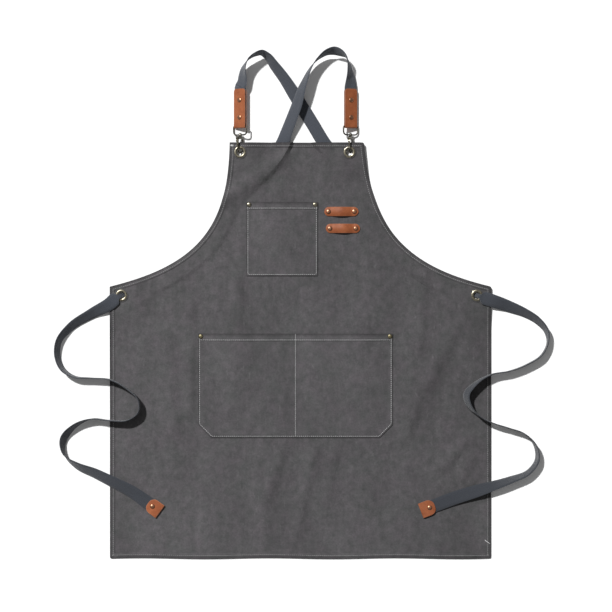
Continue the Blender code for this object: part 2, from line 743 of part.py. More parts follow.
def loop_centres():
    top = BIB_HEIGHT - LOOP_DROP
    return {
        "leather_loop_upper": Vector((LOOP_SIDE, top)),
        "leather_loop_lower": Vector((LOOP_SIDE + LOOP_STAGGER, top - LOOP_PITCH)),
    }


def grid_points(outline, keep_clear):
    """Staggered points over the canvas, away from its hems, lifts and holes."""
    points = []
    rows = round((BIB_HEIGHT + SKIRT_LENGTH) / GRID_STEP)
    columns = round(PANEL_WIDTH / GRID_STEP)
    for j in range(rows):
        for i in range(columns + 1):
            x = -HALF_WIDTH + (i + 0.5 * (j % 2)) * PANEL_WIDTH / columns
            y = -SKIRT_LENGTH + (j + 0.5) * (BIB_HEIGHT + SKIRT_LENGTH) / rows
            point = Vector((x, y))
            if not inside(point, outline):
                continue
            if distance_to_outline(point, outline) < HEM_WIDTH + HEM_SLOPE + GRID_STEP / 4:
                continue
            if any((point - other).length < GRID_STEP / 3 for other in keep_clear):
                continue
            points.append(point)
    return points


def make_panel():
    """The canvas body: one sheet with a turned hem, punched for its grommets and rivets."""
    outline = panel_outline()
    points = []
    edges = []

    def add_line(line, closed):
        first = len(points)
        points.extend(line)
        edges.extend((first + i, first + i + 1) for i in range(len(line) - 1))
        if closed:
            edges.append((len(points) - 1, first))

    add_line(outline, True)
    add_line(inset(outline, HEM_WIDTH), True)
    add_line(inset(outline, HEM_WIDTH + HEM_SLOPE), True)
    holes = []
    for centre in GROMMETS.values():
        holes.append((centre, EYELET_RADIUS))
        add_line(circle(centre, EYELET_RADIUS, ROUND_SIDES), True)
        add_line(circle(centre, PATCH_RADIUS, ROUND_SIDES), True)
        add_line(circle(centre, PATCH_RADIUS + HEM_SLOPE, ROUND_SIDES), True)
    for centre in rivet_places().values():
        holes.append((centre, RIVET_HOLE))
        add_line(circle(centre, RIVET_HOLE, RIVET_SIDES), True)
    for side in ("left", "right"):
        for line in band_lines(side):
            add_line(line, False)
    low = LOWER_TOP_LEFT.y - LOWER_HEIGHT
    right = LOWER_TOP_LEFT.x + LOWER_WIDTH
    pocket = [Vector((LOWER_TOP_LEFT.x, low)), Vector((right, low)),
              Vector((right, LOWER_TOP_LEFT.y)), LOWER_TOP_LEFT]
    add_line(inset(pocket, -HEM_SLOPE), True)
    points.extend(grid_points(outline, list(points)))
    flat, _, faces, *_ = delaunay_2d_cdt(points, edges, [], 0, 1e-6, True)
    flat = [Vector(p) for p in flat]
    kept = []
    for face in faces:
        middle = sum((flat[i] for i in face), Vector((0, 0))) / 3
        if not inside(middle, outline):
            continue
        if any((middle - centre).length < radius for centre, radius in holes):
            continue
        a, b, c = (flat[i] for i in face)
        area = (b - a).cross(c - a)
        if abs(area) > 1e-10:
            kept.append(face if area > 0 else face[::-1])
    used = sorted({i for face in kept for i in face})
    bm = bmesh.new()
    upper = {}
    lower = {}
    for i in used:
        base = drape(flat[i])
        top = base + canvas_thickness(flat[i], outline)
        lower[i] = bm.verts.new((flat[i].x, flat[i].y, base))
        upper[i] = bm.verts.new((flat[i].x, flat[i].y, top))
    directed = set()
    for a, b, c in kept:
        bm.faces.new((upper[a], upper[b], upper[c]))
        bm.faces.new((lower[c], lower[b], lower[a]))
        directed.update(((a, b), (b, c), (c, a)))
    for a, b in directed:
        if (b, a) not in directed:
            bm.faces.new((lower[a], lower[b], upper[b], upper[a]))
    add_object("apron_panel", bm, "canvas", smooth_angle=25)


def lathe(profile, sides):
    """A closed body turned round z from a profile of (radius, height), top to bottom outside."""
    bm = bmesh.new()
    rings = []
    for radius, height in profile:
        if radius < 1e-7:
            rings.append([bm.verts.new((0, 0, height))])
            continue
        ring = circle(Vector((0, 0)), radius, sides)
        rings.append([bm.verts.new((p.x, p.y, height)) for p in ring])
    for upper, lower in zip(rings, rings[1:] + rings[:1]):
        if len(upper) == 1 and len(lower) == 1:
            continue
        for i in range(sides):
            j = (i + 1) % sides
            if len(upper) == 1:
                bm.faces.new((upper[0], lower[i], lower[j]))
            elif len(lower) == 1:
                bm.faces.new((upper[i], lower[0], upper[j]))
            else:
                bm.faces.new((upper[i], lower[i], lower[j], upper[j]))
    return bm


def make_grommet(name):
    """A brass eyelet: barrel through the canvas, rolled front flange and flat back washer."""
    centre = GROMMETS[name]
    lift = GROMMET_LIFTS[name]
    front = HEM_THICKNESS + CLEARANCE
    back = -CLEARANCE
    roll = 0.5 * (GROMMET_RADIUS + GROMMET_HOLE_RADIUS)
    profile = [
        (GROMMET_HOLE_RADIUS, front + 0.2 * GROMMET_FLANGE),
        (GROMMET_HOLE_RADIUS + 0.25 * (roll - GROMMET_HOLE_RADIUS), front + 0.8 * GROMMET_FLANGE),
        (roll, front + GROMMET_FLANGE),
        (GROMMET_RADIUS, front + 0.3 * GROMMET_FLANGE),
        (GROMMET_RADIUS, front),
        (BARREL_RADIUS, front),
        (BARREL_RADIUS, back),
        (GROMMET_RADIUS, back),
        (GROMMET_RADIUS, back - 0.5 * GROMMET_FLANGE),
        (GROMMET_HOLE_RADIUS, back - GROMMET_FLANGE),
    ]
    frame = Matrix.Translation((centre.x, centre.y, lift))
    add_object("grommet_" + name, lathe(profile, ROUND_SIDES), "brass", frame)


def make_rivet(name, frame, top, bottom, look, back_cap=False):
    """A domed cap at top, a shank down to bottom, and a low cap behind where it shows."""
    profile = [
        (0.0, top + RIVET_DOME),
        (0.70 * RIVET_RADIUS, top + 0.75 * RIVET_DOME),
        (RIVET_RADIUS, top + 0.15 * RIVET_DOME),
        (RIVET_RADIUS, top),
        (RIVET_SHANK, top),
        (RIVET_SHANK, bottom),
    ]
    if back_cap:
        profile += [
            (0.85 * RIVET_RADIUS, bottom),
            (0.70 * RIVET_RADIUS, bottom - 0.5 * RIVET_DOME),
            (0.0, bottom - 0.5 * RIVET_DOME),
        ]
    else:
        profile.append((0.0, bottom))
    add_object(name, lathe(profile, RIVET_SIDES), look, frame)


def sweep(sections):
    """A closed body through rings of points, with flat ends."""
    bm = bmesh.new()
    rings = [[bm.verts.new(p) for p in ring] for ring in sections]
    count = len(rings[0])
    for a, b in zip(rings, rings[1:]):
        for i in range(count):
            j = (i + 1) % count
            bm.faces.new((a[i], a[j], b[j], b[i]))
    bm.faces.new(rings[0][::-1])
    bm.faces.new(rings[-1])
    bmesh.ops.recalc_face_normals(bm, faces=bm.faces)
    return bm


def hole_tool(places, radius, low, high):
    """Round punches along z at several places, as one tool."""
    bm = bmesh.new()
    for place in places:
        rings = [
            [bm.verts.new((p.x, p.y, z)) for p in circle(Vector(place), radius, RIVET_SIDES)]
            for z in (low, high)
        ]
        for i in range(RIVET_SIDES):
            j = (i + 1) % RIVET_SIDES
            bm.faces.new((rings[0][i], rings[0][j], rings[1][j], rings[1][i]))
        bm.faces.new(rings[0][::-1])
        bm.faces.new(rings[1])
    return bm


def end_frame(side):
    """x across the strap, y out along it, z out of the face that shows, at its leather end."""
    first = STRAPS[side][-3]
    last = STRAPS[side][-1]
    along = (last["centre"] - first["centre"]).normalized()
    across = first["across"]
    if across.cross(along).z < 0:
        across = -across
    return frame_from(across, along, first["centre"] + along * TAB_LEAD)


def end_rivet_reach():
    return 0.36 * END_TAB_LENGTH


def tab_rivet_places():
    return [(0.0, 0.24 * TAB_LENGTH), (0.0, 0.70 * TAB_LENGTH)]


def make_strap(side):
    """One length of webbing: hook tab, shoulder, under the canvas, waist grommet, tie."""
    rings = []
    for cut in STRAPS[side]:
        wide = cut["across"] * cut["half_width"]
        thick = cut["front"] * cut["half_thickness"]
        centre = cut["centre"]
        rings.append([centre - wide - thick, centre + wide - thick,
                      centre + wide + thick, centre - wide + thick])
    strap = add_object("strap_from_%s_hook" % side, sweep(rings), "webbing", smooth_angle=50)
    deep = 3 * STRAP_THICKNESS
    boolean(strap, hole_tool(tab_rivet_places(), RIVET_HOLE, -deep, deep),
            tab_frame(side), "DIFFERENCE", "tab_holes")
    boolean(strap, hole_tool([(0.0, end_rivet_reach())], RIVET_HOLE, -deep, deep),
            end_frame(side), "DIFFERENCE", "end_hole")


def folded_leather(name, frame, length, width, rounding, fold_gap, fold_at, holes):
    """A leather strip folded over an end: two plies along y and a round fold between them."""
    middle = PLY_HALF_GAP + TAB_LEATHER / 2
    bend = fold_gap + TAB_LEATHER / 2
    ease = 0.5 * (fold_gap - PLY_HALF_GAP) + 0.0005
    path = []
    for share in (1.0, 0.96, 0.85, 0.65, 0.35, 0.0):
        y = length - rounding * (1 - share)
        shrink = rounding * (1 - math.sqrt(1 - (1 - (1 - share)) ** 2)) if share else 0.0
        path.append({"y": y, "z": middle, "half": width / 2 - shrink * 0.98})
    path.append({"y": fold_at + 4 * ease + bend, "z": middle, "half": width / 2})
    path.append({"y": fold_at + 0.3 * bend, "z": bend, "half": width / 2})
    for step in range(1, 6):
        turn = math.pi * step / 6
        path.append({"y": fold_at - bend * math.sin(turn), "z": bend * math.cos(turn),
                     "half": width / 2})
    path += [{"y": p["y"], "z": -p["z"], "half": p["half"]} for p in path[7::-1]]
    rings = []
    for i, place in enumerate(path):
        before = path[max(i - 1, 0)]
        after = path[min(i + 1, len(path) - 1)]
        run = Vector((after["y"] - before["y"], after["z"] - before["z"])).normalized()
        out = Vector((-run.y, run.x)) * TAB_LEATHER / 2
        ring = []
        for sign_x, sign_z in ((-1, -1), (1, -1), (1, 1), (-1, 1)):
            ring.append(Vector((sign_x * place["half"], place["y"] + sign_z * out.x,
                                place["z"] + sign_z * out.y)))
        rings.append(ring)
    tab = add_object(name, sweep(rings), "leather", frame, smooth_angle=35)
    boolean(tab, hole_tool(holes, RIVET_HOLE, -0.02, 0.02), frame, "DIFFERENCE", "rivet_holes")


def make_hook_tab(side):
    frame = tab_frame(side)
    name = "hook_tab_" + side
    folded_leather(name, frame, TAB_LENGTH, TAB_WIDTH, TAB_ROUND,
                   EYE_WIRE + CLEARANCE, 0.0, tab_rivet_places())
    outer = PLY_HALF_GAP + TAB_LEATHER + CLEARANCE
    for label, place in zip(("lower", "upper"), tab_rivet_places()):
        at = frame @ Matrix.Translation((place[0], place[1], 0.0))
        make_rivet("%s_rivet_%s" % (name, label), at, outer, -outer, "copper", back_cap=True)


def make_end_tab(side):
    """The leather end of the tie, folded at its outer end."""
    frame = end_frame(side)
    flipped = Matrix.Rotation(math.pi, 4, "Z")
    turned = frame @ Matrix.Translation((0.0, END_TAB_LENGTH, 0.0)) @ flipped
    name = "end_tab_" + OTHER_SIDE[side]
    reach = END_TAB_LENGTH - end_rivet_reach()
    folded_leather(name, turned, END_TAB_LENGTH, END_TAB_WIDTH, END_TAB_ROUND,
                   PLY_HALF_GAP, PLY_HALF_GAP + TAB_LEATHER, [(0.0, reach)])
    at = frame @ Matrix.Translation((0.0, end_rivet_reach(), 0.0))
    make_rivet(name + "_rivet", at, PLY_HALF_GAP + TAB_LEATHER + CLEARANCE,
               -PLY_HALF_GAP - TAB_LEATHER + CLEARANCE, "copper")


def sheet_body(across, levels, place, top, bottom):
    """A closed sheet over a grid: place gives x and y, top and bottom give the two heights."""
    bm = bmesh.new()
    upper = []
    lower = []
    for v in levels:
        line_up = []
        line_low = []
        for u in across:
            x, y = place(u, v)
            line_up.append(bm.verts.new((x, y, top(u, v))))
            line_low.append(bm.verts.new((x, y, bottom(u, v))))
        upper.append(line_up)
        lower.append(line_low)
    for j in range(len(levels) - 1):
        for i in range(len(across) - 1):
            bm.faces.new((upper[j][i], upper[j][i + 1], upper[j + 1][i + 1], upper[j + 1][i]))
            bm.faces.new((lower[j + 1][i], lower[j + 1][i + 1], lower[j][i + 1], lower[j][i]))
        bm.faces.new((lower[j][0], upper[j][0], upper[j + 1][0], lower[j + 1][0]))
        bm.faces.new((upper[j][-1], lower[j][-1], lower[j + 1][-1], upper[j + 1][-1]))
    for i in range(len(across) - 1):
        bm.faces.new((upper[0][i], lower[0][i], lower[0][i + 1], upper[0][i + 1]))
        bm.faces.new((lower[-1][i], upper[-1][i], upper[-1][i + 1], lower[-1][i + 1]))
    bmesh.ops.recalc_face_normals(bm, faces=bm.faces)
    return bm


def pocket_body(corner, width, height, bulge, cells, chamfer):
    """A patch pocket: flat along its seams, arched between them and open at its upper edge."""
    seat = CANVAS + CLEARANCE
    seam = POCKET_SEAM * cells / width
    hem = 1 - POCKET_HEM / height

    def place(u, v):
        x = corner.x + width * u
        from_side = min(u, 1 - u) * width
        floor = max(0.0, chamfer - from_side)
        return x, corner.y - height + floor + (height - floor) * v

    def bottom(u, v):
        inner = u * cells - min(int(u * cells + 1e-6), cells - 1)
        across = max(0.0, min(1.0, (inner - seam) / (1 - 2 * seam)))
        up = rounded_step((v - 0.06) / 0.55)
        return seat + bulge * up * math.sin(math.pi * across) ** 0.8

    def top(u, v):
        return bottom(u, v) + (HEM_THICKNESS if v > hem - 1e-6 else CANVAS)

    inside_cell = [0.0, seam] + [seam + (1 - 2 * seam) * share for share in (0.10, 0.26, 0.5, 0.74, 0.90)]
    inside_cell += [1 - seam]
    across = [(cell + inner) / cells for cell in range(cells) for inner in inside_cell] + [1.0]
    if chamfer:
        across = sorted(across + [chamfer / width, 1 - chamfer / width])
    levels = [hem * share for share in (0.0, 0.06, 0.2, 0.36, 0.54, 0.76, 0.985)] + [hem, 1.0]
    return sheet_body(across, levels, place, top, bottom)


def make_pockets():
    punched = rivet_places()
    seat = CANVAS + CLEARANCE
    top = seat + HEM_THICKNESS + CLEARANCE
    for name, corner, width, height, bulge, cells, chamfer in (
        ("chest_pocket", CHEST_TOP_LEFT, CHEST_WIDTH, CHEST_HEIGHT, CHEST_BULGE, 1, 0.0),
        ("lower_pocket", LOWER_TOP_LEFT, LOWER_WIDTH, LOWER_HEIGHT, LOWER_BULGE, 2, LOWER_CORNER),
    ):
        body = pocket_body(corner, width, height, bulge, cells, chamfer)
        pocket = add_object(name, body, "canvas", smooth_angle=25)
        places = {key: p for key, p in punched.items() if key.startswith(name)}
        boolean(pocket, hole_tool(places.values(), RIVET_HOLE, -0.01, 0.02), None,
                "DIFFERENCE", "rivet_holes")
        for key, place in places.items():
            frame = Matrix.Translation((place.x, place.y, 0.0))
            make_rivet(key, frame, top, CLEARANCE, "brass")


def make_loops():
    """Two leather keepers, flat under their rivets and arched between them."""
    punched = rivet_places()
    seat = CANVAS + CLEARANCE
    for name, centre in loop_centres().items():
        flat_end = LOOP_END + RIVET_RADIUS + CLEARANCE
        arch = LOOP_LENGTH / 2 - flat_end
        half_way = [{"reach": LOOP_END * share, "rise": 0.0} for share in (0.0, 0.1, 0.35, 0.8)]
        half_way += [{"reach": flat_end + arch * share, "rise": LOOP_ARCH * math.sin(share * math.pi / 2)}
                     for share in (0.0, 0.15, 0.35, 0.65)]
        stations = half_way + [{"reach": LOOP_LENGTH / 2, "rise": LOOP_ARCH}]
        stations += [{"reach": LOOP_LENGTH - h["reach"], "rise": h["rise"]} for h in half_way[::-1]]
        rings = []
        for station in stations:
            x = centre.x + station["reach"] - LOOP_LENGTH / 2
            radius = LOOP_WIDTH / 2
            lack = max(0.0, radius - min(station["reach"], LOOP_LENGTH - station["reach"]))
            half = math.sqrt(max(radius ** 2 - lack ** 2, (0.25 * radius) ** 2))
            low = seat + station["rise"]
            rings.append([
                Vector((x, centre.y - half, low)),
                Vector((x, centre.y + half, low)),
                Vector((x, centre.y + half, low + LEATHER)),
                Vector((x, centre.y - half, low + LEATHER)),
            ])
        loop = add_object(name, sweep(rings), "leather", smooth_angle=35)
        places = {key: p for key, p in punched.items() if key.startswith(name)}
        boolean(loop, hole_tool(places.values(), RIVET_HOLE, -0.01, 0.02), None,
                "DIFFERENCE", "rivet_holes")
        for key, place in places.items():
            frame = Matrix.Translation((place.x, place.y, 0.0))
            make_rivet(key, frame, seat + LEATHER + CLEARANCE, CLEARANCE, "copper")


def tube(points, radius, closed=False):
    """A round wire through points in the xy plane."""
    rings = []
    count = len(points)
    for i, point in enumerate(points):
        if closed:
            run = points[(i + 1) % count] - points[i - 1]
        else:
            run = points[min(i + 1, count - 1)] - points[max(i - 1, 0)]
        run = run.normalized()
        side = Vector((run.y, -run.x))
        ring = []
        for k in range(WIRE_SIDES):
            turn = 2 * math.pi * (k + 0.5) / WIRE_SIDES
            flat = point + side * radius * math.cos(turn)
            ring.append(Vector((flat.x, flat.y, radius * math.sin(turn))))
        rings.append(ring)
    if not closed:
        return sweep(rings)
    bm = bmesh.new()
    wires = [[bm.verts.new(p) for p in ring] for ring in rings]
    for a, b in zip(wires, wires[1:] + wires[:1]):
        for k in range(WIRE_SIDES):
            j = (k + 1) % WIRE_SIDES
            bm.faces.new((a[k], a[j], b[j], b[k]))
    bmesh.ops.recalc_face_normals(bm, faces=bm.faces)
    return bm


def plate(outline, thickness, hole=None):
    """An outline in the xy plane, anticlockwise, given its thickness along z and a round hole."""
    points = [Vector(p) for p in outline]
    count = len(points)
    edges = [(i, (i + 1) % count) for i in range(count)]
    if hole:
        points += circle(hole["centre"], hole["radius"], RIVET_SIDES)
        edges += [(count + i, count + (i + 1) % RIVET_SIDES) for i in range(RIVET_SIDES)]
    flat, _, faces, *_ = delaunay_2d_cdt(points, edges, [], 0, 1e-7, True)
    flat = [Vector(p) for p in flat]
    bm = bmesh.new()
    low = [bm.verts.new((p.x, p.y, -thickness / 2)) for p in flat]
    high = [bm.verts.new((p.x, p.y, thickness / 2)) for p in flat]
    directed = set()
    for face in faces:
        middle = sum((flat[i] for i in face), Vector((0, 0))) / 3
        if not inside(middle, points[:count]):
            continue
        if hole and (middle - hole["centre"]).length < hole["radius"]:
            continue
        a, b, c = face
        if (flat[b] - flat[a]).cross(flat[c] - flat[a]) < 0:
            a, c = c, a
        bm.faces.new((high[a], high[b], high[c]))
        bm.faces.new((low[c], low[b], low[a]))
        directed.update(((a, b), (b, c), (c, a)))
    for a, b in directed:
        if (b, a) not in directed:
            bm.faces.new((low[a], low[b], high[b], high[a]))
    return bm


def make_eye(side):
    """The strap eye: a wire bail with a collar for the swivel at its foot."""
    frame = tab_frame(side)
    half = TAB_WIDTH / 2 + EYE_TOP_ROUND + CLEARANCE
    foot = -EYE_LENGTH
    points = []
    for corner, start, radius in (
        (Vector((half, 0.0)), 0, EYE_TOP_ROUND),
        (Vector((-half, 0.0)), 90, EYE_TOP_ROUND),
        (Vector((-half, foot)), 180, EYE_FOOT_ROUND),
        (Vector((half, foot)), 270, EYE_FOOT_ROUND),
    ):
        centre = corner - Vector((math.copysign(radius, corner.x), 0.0))
        centre.y += -radius if corner.y == 0.0 else radius
        for step in range(4):
            turn = math.radians(start + 30 * step)
            points.append(centre + Vector((math.cos(turn), math.sin(turn))) * radius)
    eye = add_object("strap_eye_" + side, tube(points, EYE_WIRE, closed=True), "gunmetal", frame)
    collar = lathe([
        (0.0, COLLAR_HEIGHT / 2), (COLLAR_RADIUS, COLLAR_HEIGHT / 2),
        (COLLAR_RADIUS, -COLLAR_HEIGHT / 2), (0.0, -COLLAR_HEIGHT / 2),
    ], ROUND_SIDES - 4)
    upright = Matrix.Rotation(-math.pi / 2, 4, "X")
    seat = frame @ Matrix.Translation((0.0, foot, 0.0)) @ upright
    boolean(eye, collar, seat, "UNION", "collar")
    reach = COLLAR_HEIGHT
    bore = lathe([
        (0.0, reach), (SHANK_RADIUS + CLEARANCE, reach),
        (SHANK_RADIUS + CLEARANCE, -reach), (0.0, -reach),
    ], ROUND_SIDES - 4)
    boolean(eye, bore, seat, "DIFFERENCE", "bore")


def gate_pivot():
    return Vector((HOOK_HALF_GAP, -0.0010))


def make_hook(side):
    """The hook body: swivel shank, forked shoulder, wire spine, bend and nose."""
    frame = hook_frame(side)
    gap = HOOK_HALF_GAP
    points = [Vector((-0.0010, 0.0005)), Vector((-0.55 * gap, -0.0006)),
              Vector((-0.90 * gap, -0.0035)), Vector((-gap, -0.0075)), Vector((-gap, -HOOK_REACH))]
    for step in range(1, 9):
        turn = math.pi * step / 8
        points.append(Vector((-gap * math.cos(turn), -HOOK_REACH - gap * math.sin(turn))))
    points.append(Vector((gap, -HOOK_REACH + NOSE_LENGTH)))
    hook = add_object("hook_body_" + side, tube(points, WIRE_RADIUS), "gunmetal", frame)
    pivot = gate_pivot()
    ear = 0.0023
    outline = [(-0.0024, -0.0021), (0.0030, -0.0027)]
    for step in range(7):
        turn = math.radians(30 * step - 100)
        outline.append((pivot.x + ear * math.cos(turn), pivot.y + ear * math.sin(turn)))
    outline += [(0.0026, SHOULDER_TOP), (-0.0020, SHOULDER_TOP), (-0.0030, 0.0004)]
    hole = {"centre": pivot, "radius": PIN_RADIUS + CLEARANCE / 2}
    boolean(hook, plate(outline, SHOULDER_THICKNESS, hole), frame, "UNION", "shoulder")
    shank_top = COLLAR_BASE + COLLAR_HEIGHT + CLEARANCE
    head = 0.0015
    shank = lathe([
        (0.0, shank_top + head), (0.7 * COLLAR_RADIUS, shank_top + 0.7 * head),
        (0.85 * COLLAR_RADIUS, shank_top), (SHANK_RADIUS, shank_top),
        (SHANK_RADIUS, 0.5 * SHOULDER_TOP), (0.0, 0.5 * SHOULDER_TOP),
    ], ROUND_SIDES - 4)
    upright = frame @ Matrix.Rotation(-math.pi / 2, 4, "X")
    boolean(hook, shank, upright, "UNION", "shank")
    reach = 0.0037
    slot_half = GATE_THICKNESS / 2 + CLEARANCE
    slot = [(pivot.x - reach, pivot.y - reach), (pivot.x + reach, pivot.y - reach),
            (pivot.x + reach, pivot.y + reach), (pivot.x - reach, pivot.y + reach)]
    boolean(hook, plate(slot, 2 * slot_half), frame, "DIFFERENCE", "gate_slot")


def make_gate(side):
    """The sprung gate: a round eye on its pin, a thumb catch, and a tip that meets the nose."""
    pivot = gate_pivot()
    frame = hook_frame(side) @ Matrix.Translation((pivot.x, pivot.y, 0.0))
    head = 0.0021
    tip = -HOOK_REACH + NOSE_LENGTH + CLEARANCE - pivot.y
    half = 0.0012
    outline = []
    for step in range(7):
        turn = math.radians(-30 + 40 * step)
        outline.append((head * math.cos(turn), head * math.sin(turn)))
    outline += [(-half, tip), (half, tip), (half, 0.5 * tip), (head + 0.0016, 0.36 * tip),
                (head + 0.0012, 0.22 * tip), (half + 0.0004, 0.16 * tip)]
    hole = {"centre": Vector((0.0, 0.0)), "radius": PIN_RADIUS + CLEARANCE / 2}
    add_object("hook_gate_" + side, plate(outline, GATE_THICKNESS, hole), "brass", frame)
    pin = lathe([
        (0.0, SHOULDER_THICKNESS / 2), (PIN_RADIUS, SHOULDER_THICKNESS / 2),
        (PIN_RADIUS, -SHOULDER_THICKNESS / 2), (0.0, -SHOULDER_THICKNESS / 2),
    ], RIVET_SIDES)
    add_object("gate_pin_" + side, pin, "gunmetal", frame)


STRAPS = {side: strap_route(side) for side in ("left", "right")}
HIDDEN = {side: hidden_sections(side) for side in ("left", "right")}

clear_scene()
make_panel()
make_pockets()
make_loops()
for corner_name in GROMMETS:
    make_grommet(corner_name)
for hook_side in ("left", "right"):
    make_strap(hook_side)
    make_hook_tab(hook_side)
    make_eye(hook_side)
    make_hook(hook_side)
    make_gate(hook_side)
    make_end_tab(hook_side)
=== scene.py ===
"""Looks of the bib apron: canvas, pockets, webbing, leather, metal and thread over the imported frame."""
import json
import math

import bmesh
import bpy
from mathutils import Matrix, Vector, noise
from mathutils.geometry import delaunay_2d_cdt


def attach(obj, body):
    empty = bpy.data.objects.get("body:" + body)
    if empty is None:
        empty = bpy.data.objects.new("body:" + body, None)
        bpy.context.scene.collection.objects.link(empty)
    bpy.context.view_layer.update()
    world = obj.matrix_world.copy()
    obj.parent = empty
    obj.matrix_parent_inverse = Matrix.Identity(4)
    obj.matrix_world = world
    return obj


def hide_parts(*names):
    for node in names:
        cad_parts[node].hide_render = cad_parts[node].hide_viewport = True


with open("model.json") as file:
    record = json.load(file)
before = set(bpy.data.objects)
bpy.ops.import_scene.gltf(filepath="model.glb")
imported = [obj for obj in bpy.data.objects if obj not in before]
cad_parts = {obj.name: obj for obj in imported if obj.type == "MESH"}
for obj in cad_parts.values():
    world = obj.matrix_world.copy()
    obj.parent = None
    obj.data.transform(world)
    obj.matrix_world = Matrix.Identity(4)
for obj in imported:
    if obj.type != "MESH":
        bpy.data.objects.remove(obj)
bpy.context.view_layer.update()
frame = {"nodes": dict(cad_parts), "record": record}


# Canvas body
PANEL_WIDTH = 0.68
BIB_WIDTH = 0.24
BIB_SHIFT = -0.0062
BIB_HEIGHT = 0.257
SKIRT_LENGTH = 0.485
CANVAS = 0.0011
HEM_WIDTH = 0.008
HEM_THICKNESS = 0.0022
HEM_SLOPE = 0.0015
BIB_CORNER_RADIUS = 0.0085
CORNER_RADIUS = 0.005
BOTTOM_WAVE = 0.0009
BOTTOM_WAVES = 3
CLEARANCE = 0.0003

# Grommets, with their middles, and how far they lift the canvas
GROMMET_RADIUS = 0.0105
GROMMET_HOLE_RADIUS = 0.006
GROMMET_WALL = 0.0006
GROMMET_FLANGE = 0.0007
BIB_LIFT = 0.007
WAIST_LIFT = 0.0048
LIFT_FLAT = 0.021
LIFT_RUN = 0.048
GROMMETS = {
    "bib_left": Vector((-0.1076, 0.2395)),
    "bib_right": Vector((0.0872, 0.2395)),
    "waist_left": Vector((-0.3191, -0.0158)),
    "waist_right": Vector((0.3145, -0.0158)),
}

# Pockets: upper left corner, width, height, number of cells and cut of the lower corners
POCKETS = {
    "chest_pocket": (Vector((-0.09645, 0.151)), 0.1273, 0.132, 1, 0.0),
    "lower_pocket": (Vector((-0.1826, -0.084)), 0.347, 0.1856, 2, 0.023),
}
POCKET_HEM = 0.0125
POCKET_SEAM = 0.0098
POCKET_BULGE = 0.0054
CRUMPLE = 0.0012

# Leather loops beside the chest pocket
LOOP_LENGTH = 0.061
LOOP_WIDTH = 0.0166
LEATHER = 0.0018
LOOP_ARCH = 0.0044
LOOP_END = 0.0075
LOOP_EASE = 0.0004
LOOPS = {
    "leather_loop_upper": Vector((0.0729, 0.134)),
    "leather_loop_lower": Vector((0.0756, 0.1039)),
}

# Webbing; it starts to spread at a share of the grommet's hole
STRAP_WIDTH = 0.0235
STRAP_THICKNESS = 0.0016
SHOULDER_REACH = 0.168
TIE_SPREAD = 0.126
TIE_DROP = 0.391
GATHER_WIDTH = 0.0072
GATHER_THICKNESS = 0.0026
GATHER_START = 0.7
GATHER_RUN = 0.0085
LIFT_BAND = 0.0015
LIFT_FOOT = 0.006

# Leather ends
TAB_LEATHER = 0.0016
TAB_LENGTH = 0.067
END_TAB_LENGTH = 0.027
TAB_LEAD = 0.003

# Snap hooks: the bar of each strap eye, across and up from the middle of its grommet
AXIS_HEIGHT = 0.0095
EYE_WIRE = 0.0014
EYE_BAR = 0.0458
HOOK_OFFSETS = {"left": 0.0002, "right": 0.002}
STRAP_LEANS = {"left": 31.0, "right": -23.0}

# Rivets
RIVET_RADIUS = 0.0042
RIVET_DOME = 0.0016
RIVET_SHANK = 0.0013
RIVET_INSET = 0.0048

# Stitches: the rows on the pockets and along the edge, from the edge of the cloth
STITCH_PITCH = 0.0036
STITCH_SHARE = 0.8
STITCH_RADIUS = 0.00042
STITCH_SIDES = 6
POCKET_STITCH_SIDE = 0.0026
POCKET_STITCH_LOW = 0.0028
POCKET_STITCH_TOP = 0.0008
HEM_STITCH_LOW = 0.0014
HEM_STITCH_END = 0.0006
EDGE_STITCH = 0.006

# Mesh steps
GRID_STEP = 0.008
EDGE_STEP = 0.012
LINE_STEP = 0.004
ROUND_SIDES = 24
RIVET_SIDES = 8
ROUTE_STEPS = 6
POCKET_COLUMNS = 22
POCKET_ROWS = 26
TINY = 1e-6

# An armhole is about this much longer than the line between its ends
ARC_PER_CHORD = 1.25

# Armhole curves: from the bib across and down to the first handle, and from the waist corner in and
# up to the second, as shares of the width and height that the curve spans
ARMHOLES = {
    "left": (0.01, 0.603, 0.716, 0.148),
    "right": (0.064, 0.598, 0.665, 0.145),
}

# Soft folds of the canvas: across and up of the two ends, as shares of the half width and of the
# bib or skirt, then width and rise as shares of the bib width
FOLDS = [
    (-0.71, -0.17, -0.66, -0.52, 0.09, 0.018),
    (0.8, -0.17, 0.66, -0.36, 0.085, 0.022),
    (0.88, -0.62, 0.85, -0.7, 0.06, 0.014),
    (-0.22, -0.74, -0.16, -0.94, 0.08, 0.014),
    (0.34, -0.7, 0.4, -0.92, 0.085, 0.016),
    (-0.58, -0.06, -0.585, -0.46, 0.06, 0.018),
    (-0.404, 0.6, -0.096, 0.89, 0.085, 0.023),
    (-0.329, 0.06, -0.335, -0.13, 0.075, 0.016),
    (0.638, 0.08, 0.62, -0.22, 0.075, 0.02),
    (0.86, -0.57, 0.75, -0.66, 0.06, 0.018),
    (-0.11, -0.61, -0.18, -0.78, 0.06, 0.016),
    (0.065, -0.61, -0.03, -0.93, 0.065, 0.018),
    (0.175, -0.61, 0.14, -0.78, 0.06, 0.016),
    (0.55, -0.56, 0.61, -0.42, 0.06, 0.018),
]

